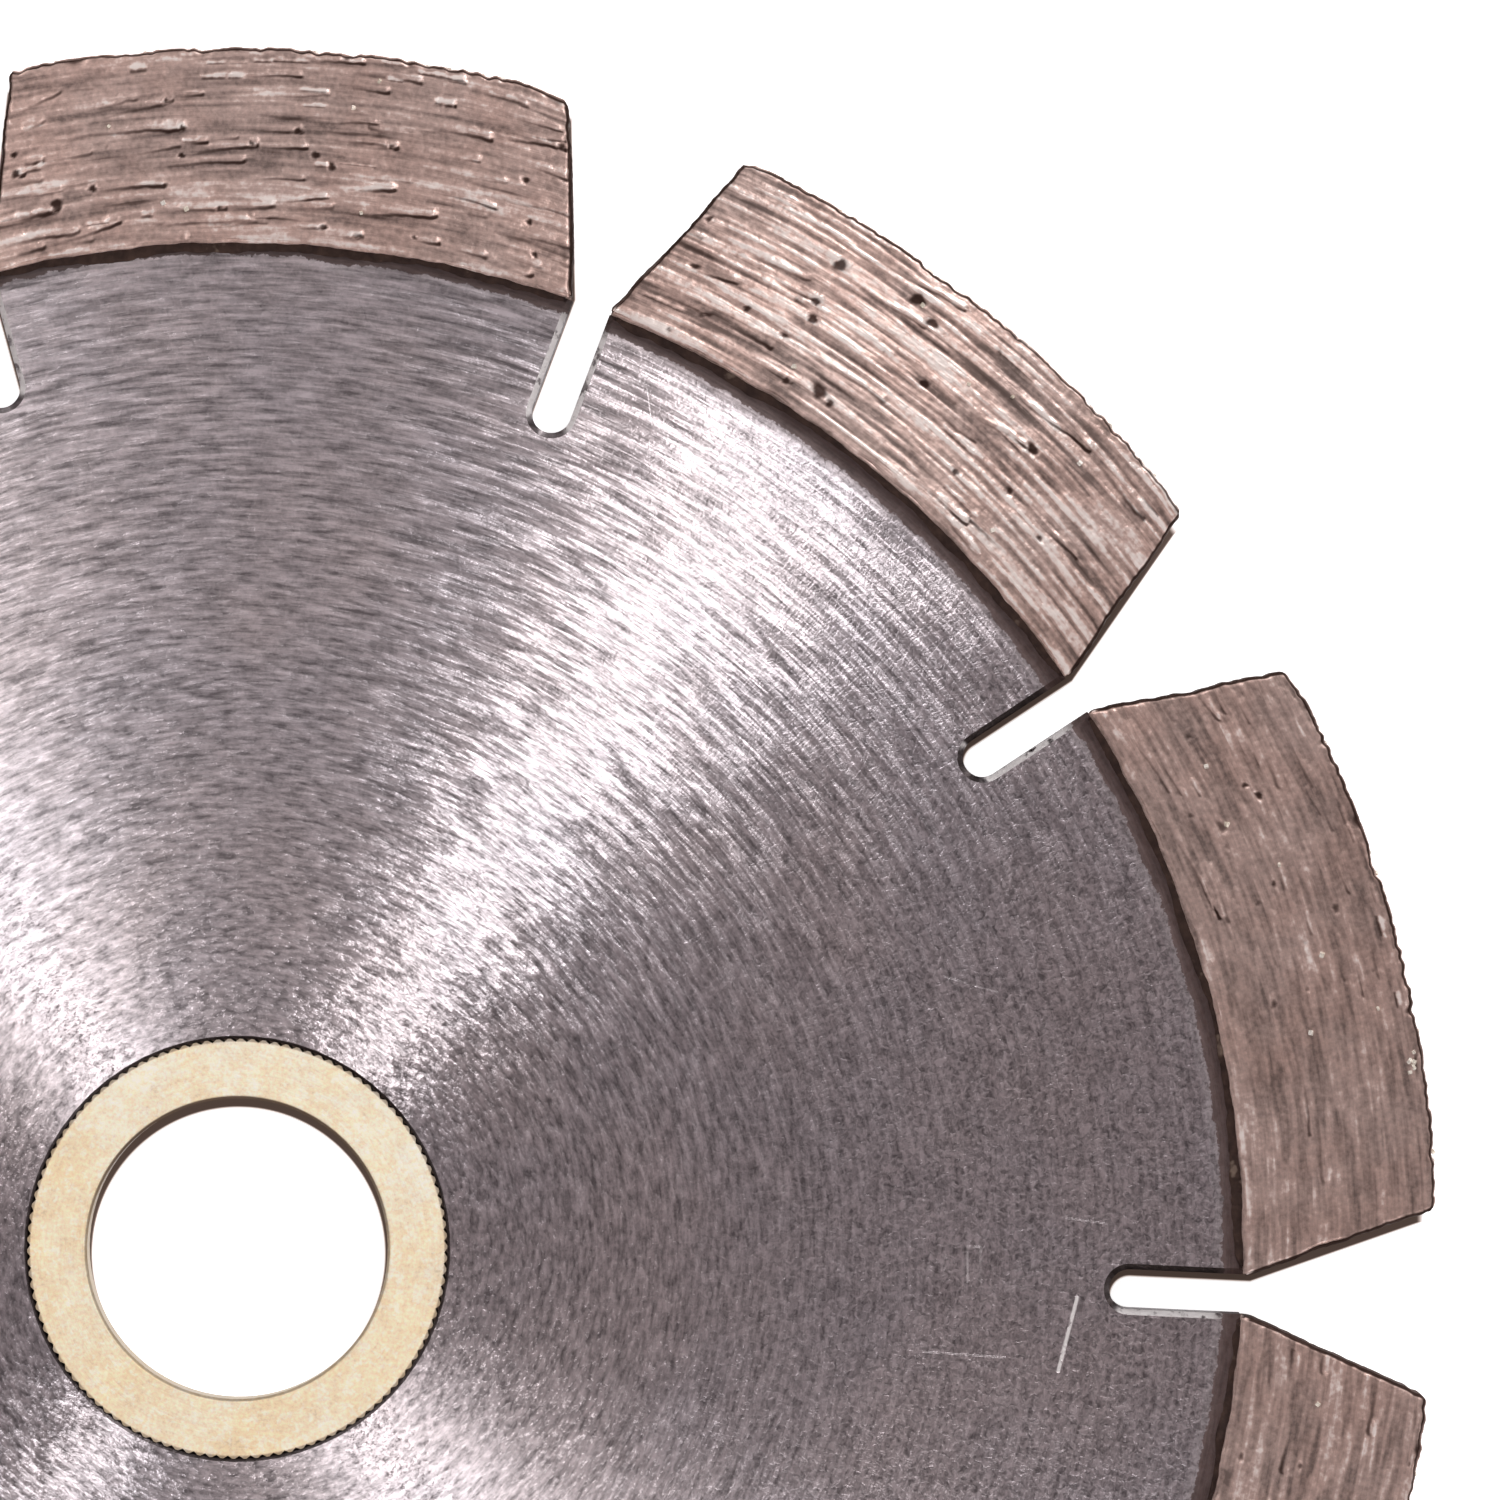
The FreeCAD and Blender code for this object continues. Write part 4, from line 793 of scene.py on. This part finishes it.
def make_segment(index, material):
    rng = np.random.default_rng(4100 + 17 * index)
    half_a = (W_ROOT + W_TIP) / 2
    a = spaced(half_a, 0.132, ROUND, 4)
    b = spaced(HALF_B, 0.074, ROUND, 4)
    c = spaced(SKIN_Z, 0.21, ROUND, 4)
    q, faces, where = box_lattice(a, b, c)
    half = np.array([half_a, HALF_B, SKIN_Z])
    # rounded edges
    core = np.clip(q, -(half - ROUND), half - ROUND)
    away = q - core
    length = np.linalg.norm(away, axis=1, keepdims=True)
    normal = away / np.maximum(length, 1e-9)
    p = core + normal * ROUND
    slope = rng.uniform(-0.045, 0.045)
    wob = smooth_noise(rng, (64, 64), (6, 6))
    out_depth = np.zeros(len(p))
    cavity_shade = np.zeros(len(p))
    streak_and_highlight = np.zeros(len(p))
    total = np.zeros(len(p))
    for side, (axis, sign) in SIDES.items():
        weight = np.clip(normal[:, axis] * sign, 0, 1) ** 2
        use = weight > 1e-4
        depth_g, cavity_shade_g, streak_and_highlight_g = relief(index, side, half_a)
        if axis == 2:
            u, v = p[use, 0], p[use, 1]
        elif axis == 1:
            u, v = p[use, 0], p[use, 2]
        else:
            u, v = p[use, 1], p[use, 2]
        warp = sample(wob, (u + 20) * 1.1, (v + 8) * 1.3) * 0.13
        if side == "front" and index in LEDGES:
            vv = v + 0.25 * warp
        else:
            vv = v + slope * u + warp if axis == 2 else v + warp
        gi, gj = (u + 20.5) / STEP_A, (vv + 8) / STEP_B
        out_depth[use] += weight[use] * sample(depth_g, gi, gj)
        cavity_shade[use] += weight[use] * sample(cavity_shade_g, gi, gj)
        streak_and_highlight[use] += weight[use] * sample(streak_and_highlight_g, gi, gj)
        total[use] += weight[use]
    streak_and_highlight /= np.maximum(total, 1e-6)
    cavity_shade /= np.maximum(total, 1e-6)
    # ---- worn, chipped edges, deeper where two faces meet, with painted shade along the edges (less at the root) and on the end walls
    bend = 1.0 - np.max(np.abs(normal), axis=1)
    edge = np.clip(bend, 0, 0.42) / 0.30
    ragged = smooth_noise(rng, (256, 64), (2.2, 1.5))
    nick = sample(ragged, (p[:, 0] + 20) * 5.0, (p[:, 1] * 3 + p[:, 2] * 5 + 40) * 1.0)
    out_depth += edge * (0.02 + 0.06 * np.clip(nick, 0, 3))
    at_root = np.clip(-normal[:, 1] * 3, 0, 1)
    cavity_shade = np.maximum(cavity_shade, 0.84 * np.clip(bend / 0.14, 0, 1) * (1 - 0.85 * at_root))
    cavity_shade = np.maximum(cavity_shade, 0.80 * np.clip(np.abs(normal[:, 0]) * 2 - 0.6, 0, 1))
    # a soft roll-off inside the edges, so that they catch and lose the light unevenly; painted shade runs along the tip
    # and end edges, and a painted highlight along the root edge
    to_tip = HALF_B - p[:, 1]
    to_root = HALF_B + p[:, 1]
    to_end = half_a - np.abs(p[:, 0])
    at_a = np.clip(((p[:, 0] + half_a) / (2 * half_a)) * 511, 0, 511)
    rag_tip = np.interp(at_a, np.arange(512), smooth_noise(rng, (512, 8), (3.5, 0.8))[:, 0])
    rag_root = np.interp(at_a, np.arange(512), smooth_noise(rng, (512, 8), (6.0, 0.8))[:, 0])
    on_face = np.abs(normal[:, 2]) > 0.5
    roll = np.exp(-(to_tip / (0.22 + 0.10 * np.clip(rag_tip, -1, 2))) ** 2) * on_face
    out_depth += 0.07 * roll * (0.7 + 0.3 * rag_tip)
    cavity_shade = np.maximum(cavity_shade, np.clip(roll * (0.30 + 0.35 * rag_tip), 0, 0.8))
    roll_end = np.exp(-(to_end / 0.20) ** 2) * on_face
    cavity_shade = np.maximum(cavity_shade, 0.30 * roll_end)
    lip = np.exp(-((to_root - 0.22) / (0.12 + 0.04 * np.clip(rag_root, -1, 1))) ** 2) * on_face
    streak_and_highlight = streak_and_highlight + 0.22 * lip
    cavity_shade = cavity_shade * (1 - 0.8 * lip)
    out_depth = np.maximum(out_depth, 0.0)
    # the faces' root edges stand out over the seam a little, as a burr
    burr = np.exp(-(to_root / 0.30) ** 2) * np.clip((np.abs(p[:, 2]) - 2.55) / 0.25, 0, 1)
    # ---- the outline itself wanders a little, more along the tip
    wander = smooth_noise(rng, (512, 8), (14, 0.8))[:, 0]
    fine_wander = smooth_noise(rng, (512, 8), (2.5, 0.8))[:, 0]
    drift = np.interp(at_a, np.arange(512), wander) * 0.045 + np.interp(at_a, np.arange(512), fine_wander) * 0.05
    near_tip = np.clip((p[:, 1] - (HALF_B - 0.9)) / 0.9, 0, 1)
    p = p - normal * out_depth[:, None]
    p[:, 1] -= burr * (0.17 + 0.03 * np.clip(rag_root, -1.5, 1.5))
    p[:, 1] -= near_tip * (0.045 + np.clip(drift + 0.05, 0.0, 0.28))
    end_wander = smooth_noise(rng, (128, 8), (9, 0.8))
    end_fine = smooth_noise(rng, (128, 8), (2.0, 0.8))
    for sign, col in ((1, 0), (-1, 4)):
        near_end = np.clip((sign * p[:, 0] - (half_a - 0.9)) / 0.9, 0, 1)
        at = np.clip(((p[:, 1] + HALF_B) / (2 * HALF_B)) * 127, 0, 127)
        push = np.clip(0.05 + 0.05 * np.interp(at, np.arange(128), end_wander[:, col])
                       + 0.025 * np.interp(at, np.arange(128), end_fine[:, col]), 0, 0.22)
        p[:, 0] -= sign * near_end * push
    # the bond has worn unevenly at the outer corners
    for sign in (1, -1):
        reach, drop = (1.9, 0.40 if sign > 0 else 0.06) if index == 0 else (1.1, rng.uniform(0.02, 0.28))
        corner = np.exp(-((half_a - sign * p[:, 0]) / reach) ** 2 - ((HALF_B - p[:, 1]) / reach) ** 2)
        p[:, 1] -= corner * drop
    xyz = to_blade(p[:, 0] / half_a, p[:, 1], p[:, 2])
    xyz = rotate(xyz, 36.0 * index)
    obj = make_object("segment_%02d_bond" % (index + 1), xyz, faces, material,
                      {"cavity_shade": np.clip(cavity_shade, 0, 1), "streak_and_highlight": np.clip(streak_and_highlight, 0, 1)})
    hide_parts("segment_%02d" % (index + 1))
    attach(obj, "blade")
    return obj


# ------------------------------------------------------------ braze seams
def make_braze(index, material):
    """The seam's two fillets and the thin layer between them, as one closed, lumpy bar bent round the rim."""
    rng = np.random.default_rng(7100 + 31 * index)
    n = 520
    half_angle = 16.4
    angle = np.linspace(-half_angle, half_angle, n)
    # section, counted round: outer wall at the segment's root, then the fillet down to the core's face, and the far side
    slow = smooth_noise(rng, (n, 8), (26, 0.8))
    quick_ = smooth_noise(rng, (n, 8), (5, 0.8))
    ends = np.clip((half_angle - np.abs(angle)) / 0.8, 0, 1)
    rings = []
    for k in range(n):
        def fillet(side):
            s, f = slow[k, side], quick_[k, side]
            rise = (0.30 + 0.05 * s + 0.025 * f) * (0.5 + 0.5 * ends[k])
            reach = (0.42 + 0.09 * s + 0.035 * f) * (0.5 + 0.5 * ends[k])
            rise, reach = max(rise, 0.12), max(reach, 0.16)
            out = []
            for t in np.linspace(0, 1, 9):
                # a concave curve from the segment's wall to the core's face, with a bulge where the filler pooled
                u = (1 - t)
                zz = Z_FACE + rise * u ** 1.9 + 0.05 * max(0.0, f) * math.sin(math.pi * t)
                rr = R_ROOT + 0.03 - (reach + 0.12) * (1 - u ** 1.9)
                out.append((rr, zz))
            return out
        top = fillet(0)
        bottom = [(r_, -z_) for r_, z_ in fillet(4)][::-1]
        section = top + [(R_RIM - 0.22, Z_FACE - 0.04), (R_RIM - 0.03, Z_FACE - 0.24),
                         (R_RIM - 0.03, 0.24 - Z_FACE), (R_RIM - 0.22, 0.04 - Z_FACE)] + bottom
        rings.append(section)
    section = np.array(rings)                     # n, m, 2
    m_ = section.shape[1]
    # surface grain on what shows
    grain = smooth_noise(rng, (n, m_), (1.5, 1.0))
    section[:, :9, 1] += 0.012 * grain[:, :9]
    section[:, -9:, 1] -= 0.012 * grain[:, -9:]
    th = np.radians(angle)[:, None]
    x = section[:, :, 0] * np.sin(th)
    y = section[:, :, 0] * np.cos(th)
    pts = np.stack([x, y, section[:, :, 1]], -1).reshape(-1, 3)
    idx = np.arange(n * m_).reshape(n, m_)
    nxt = np.roll(idx, -1, axis=1)
    quads = np.stack([idx[:-1], nxt[:-1], nxt[1:], idx[1:]], -1).reshape(-1, 4)
    # caps, as fans about the section's middle
    first = pts.reshape(n, m_, 3)[0].mean(0)
    last = pts.reshape(n, m_, 3)[-1].mean(0)
    pts = np.concatenate([pts, [first, last]])
    c0, c1 = n * m_, n * m_ + 1
    tri0 = np.stack([np.full(m_, c0), nxt[0], idx[0]], -1)
    tri1 = np.stack([np.full(m_, c1), idx[-1], nxt[-1]], -1)
    obj = make_object("braze_%02d_bead" % (index + 1), rotate(pts, 36.0 * index), [quads, tri0, tri1], material)
    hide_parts("braze_%02d" % (index + 1))
    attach(obj, "blade")
    return obj


# ------------------------------------------------------------ exposed grains
def crystal():
    """A cube with its corners cut off, as synthetic saw diamond grows: points and faces of a cuboctahedron-like solid."""
    t = 0.62
    pts = []
    for sx in (-1, 1):
        for sy in (-1, 1):
            for sz in (-1, 1):
                pts += [(sx * t, sy, sz), (sx, sy * t, sz), (sx, sy, sz * t)]
    return np.array(pts, float)


def crystal_faces():
    """Triangles of the crystal's hull."""
    import bmesh
    bm = bmesh.new()
    for p in crystal():
        bm.verts.new(p)
    bmesh.ops.convex_hull(bm, input=bm.verts)
    bmesh.ops.recalc_face_normals(bm, faces=bm.faces)
    bmesh.ops.triangulate(bm, faces=bm.faces)
    bm.verts.index_update()
    tri = np.array([[v.index for v in f.verts] for f in bm.faces])
    pts = np.array([v.co[:] for v in bm.verts])
    bm.free()
    return pts, tri


CRYSTAL_PTS, CRYSTAL_TRIS = crystal_faces()


def random_rotation(g):
    q = g.standard_normal(4)
    q /= np.linalg.norm(q)
    w, x, y, z = q
    return np.array([
        [1 - 2 * (y * y + z * z), 2 * (x * y - z * w), 2 * (x * z + y * w)],
        [2 * (x * y + z * w), 1 - 2 * (x * x + z * z), 2 * (y * z - x * w)],
        [2 * (x * z - y * w), 2 * (y * z + x * w), 1 - 2 * (x * x + y * y)]])


def make_grit(index, material):
    g = np.random.default_rng(5200 + 7 * index)
    half_a = (W_ROOT + W_TIP) / 2
    pts, tris, total = [], [], 0
    spots = []
    for side in (1, -1):
        for _ in range(6):
            spots.append(("face", side, g.uniform(-half_a + 0.6, half_a - 0.6), g.uniform(-HALF_B + 0.4, HALF_B - 1.3), g.uniform(0.13, 0.20)))
    for _ in range(46):
        spots.append(("tip", 1, g.uniform(-half_a + 2.3, half_a - 2.3), g.uniform(-SKIN_Z + 0.35, SKIN_Z - 0.35), g.uniform(0.14, 0.21)))
    if index == 2:
        for k in range(7):
            spots.append(("face", 1, 6.95 + g.uniform(-0.5, 0.9), HALF_B - 0.62 + g.uniform(-0.3, 0.12), g.uniform(0.12, 0.17)))
    for kind, side, u, v, size in spots:
        body = CRYSTAL_PTS / np.linalg.norm(CRYSTAL_PTS[0]) * size * g.uniform(0.85, 1.1, 3)
        body = body @ random_rotation(g).T
        if kind == "face":
            centre = to_blade(np.array([u / half_a]), np.array([v]), np.array([0.0]))[0]
            high = body[:, 2].max() if side > 0 else -body[:, 2].min()
            centre[2] = side * (3.168 - high)
        else:
            centre = to_blade(np.array([u / half_a]), np.array([HALF_B]), np.array([v]))[0]
            way = np.array([centre[0], centre[1], 0.0]) / np.linalg.norm(centre[:2])
            high = (body @ way).max()
            centre[:2] = way[:2] * (63.45 - high)
        pts.append(body + centre)
        tris.append(CRYSTAL_TRIS + total)
        total += len(body)
    obj = make_object("segment_%02d_grit" % (index + 1), rotate(np.concatenate(pts), 36.0 * index), np.concatenate(tris), material, smooth=False)
    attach(obj, "blade")
    return obj


# ------------------------------------------------------------------ assembly
def dress(node, material):
    o = NODES[node]
    o.data.materials.clear()
    o.data.materials.append(material)


dress("core", core_material())
dress("arbor_bushing", bushing_material())
SEG_MAT, BRAZE_MAT, GRAIN_MAT = segment_material(), braze_material(), diamond_material()
for i in range(COUNT):
    dress("segment_%02d" % (i + 1), SEG_MAT)
    dress("braze_%02d" % (i + 1), BRAZE_MAT)
    make_segment(i, SEG_MAT)
    make_braze(i, BRAZE_MAT)
    make_grit(i, GRAIN_MAT)

# ------------------------------------- floor, turned up far away as a backdrop
floor_mesh = bpy.data.meshes.new("floor")
s = 25.0
corners = [(-s, -s), (s, -s), (s, s), (-s, s)]
floor_mesh.from_pydata([(cx, cy, h) for h in (0.0, 5.0) for cx, cy in corners], [],
                       [(0, 1, 2, 3)] + [(k, (k + 1) % 4, (k + 1) % 4 + 4, k + 4) for k in range(4)])
floor = bpy.data.objects.new("floor", floor_mesh)
bpy.context.scene.collection.objects.link(floor)
floor.location = (0, 0, -3.2 * MM)
fm = Nodes("floor_pale")
# The floor gives off light, and is dark in the blade's own shade. The shade is a little larger than
# the blade and lies towards -Y, so a narrow band of it shows in the bore and in the gullets.
wider = fm.vec("SCALE", fm.object_coords(), scale=0.994)


def opening_depth(shift_x, shift_y):
    """Where a point of the floor lies in the shade's outline: radius, and place in the nearest gullet."""
    sx, sy, _ = fm.separate(fm.vec("SUBTRACT", wider, (shift_x * MM, shift_y * MM, 0.0)))
    sr = fm.vec("LENGTH", fm.combine(sx, sy, 0.0))
    turn = fm.math("ARCTAN2", sx, sy)
    local = fm.math("WRAP", fm.math("SUBTRACT", turn, math.radians(18.0)), math.radians(18.0), math.radians(-18.0))
    return sr, fm.math("MULTIPLY", sr, fm.math("COSINE", local)), fm.math("MULTIPLY", sr, fm.math("SINE", local))


bore_r, _, _ = opening_depth(-0.07, -0.41)
gap_r, gap_u, gap_v = opening_depth(-0.13, -0.49)
in_bore = fm.math("SUBTRACT", (7.9375 - 0.20) * MM, bore_r)
half_gap = fm.math("MULTIPLY_ADD", fm.math("MAXIMUM", fm.math("SUBTRACT", gap_u, 53.465 * MM), 0.0), 0.40, (1.05 - 0.01) * MM)
to_end = fm.math("MINIMUM", fm.math("SUBTRACT", gap_u, 47.15 * MM), 0.0)
in_gap = fm.math("SUBTRACT", half_gap, fm.vec("LENGTH", fm.combine(to_end, gap_v, 0.0)))
past_rim = fm.math("MULTIPLY", fm.math("SUBTRACT", gap_r, 62.5 * MM), 0.30)
lit = fm.ramp(fm.math("MAXIMUM", fm.math("MAXIMUM", in_bore, in_gap), past_rim), -0.00007, 0.00007)
fm.link(fm.mix(lit, (0.095, 0.062, 0.050), (0.82, 0.82, 0.82)), fm.bsdf.inputs["Base Color"])
fm.bsdf.inputs["Roughness"].default_value = 0.9
fm.link(fm.mix(lit, (1.0, 0.70, 0.56), (1.0, 1.0, 1.0)), fm.bsdf.inputs["Emission Color"])
fm.link(fm.math("MULTIPLY_ADD", lit, 0.885, 0.045), fm.bsdf.inputs["Emission Strength"])
if hasattr(fm.mat, "cycles"):
    fm.mat.cycles.emission_sampling = "NONE"
floor_mesh.materials.append(fm.mat)
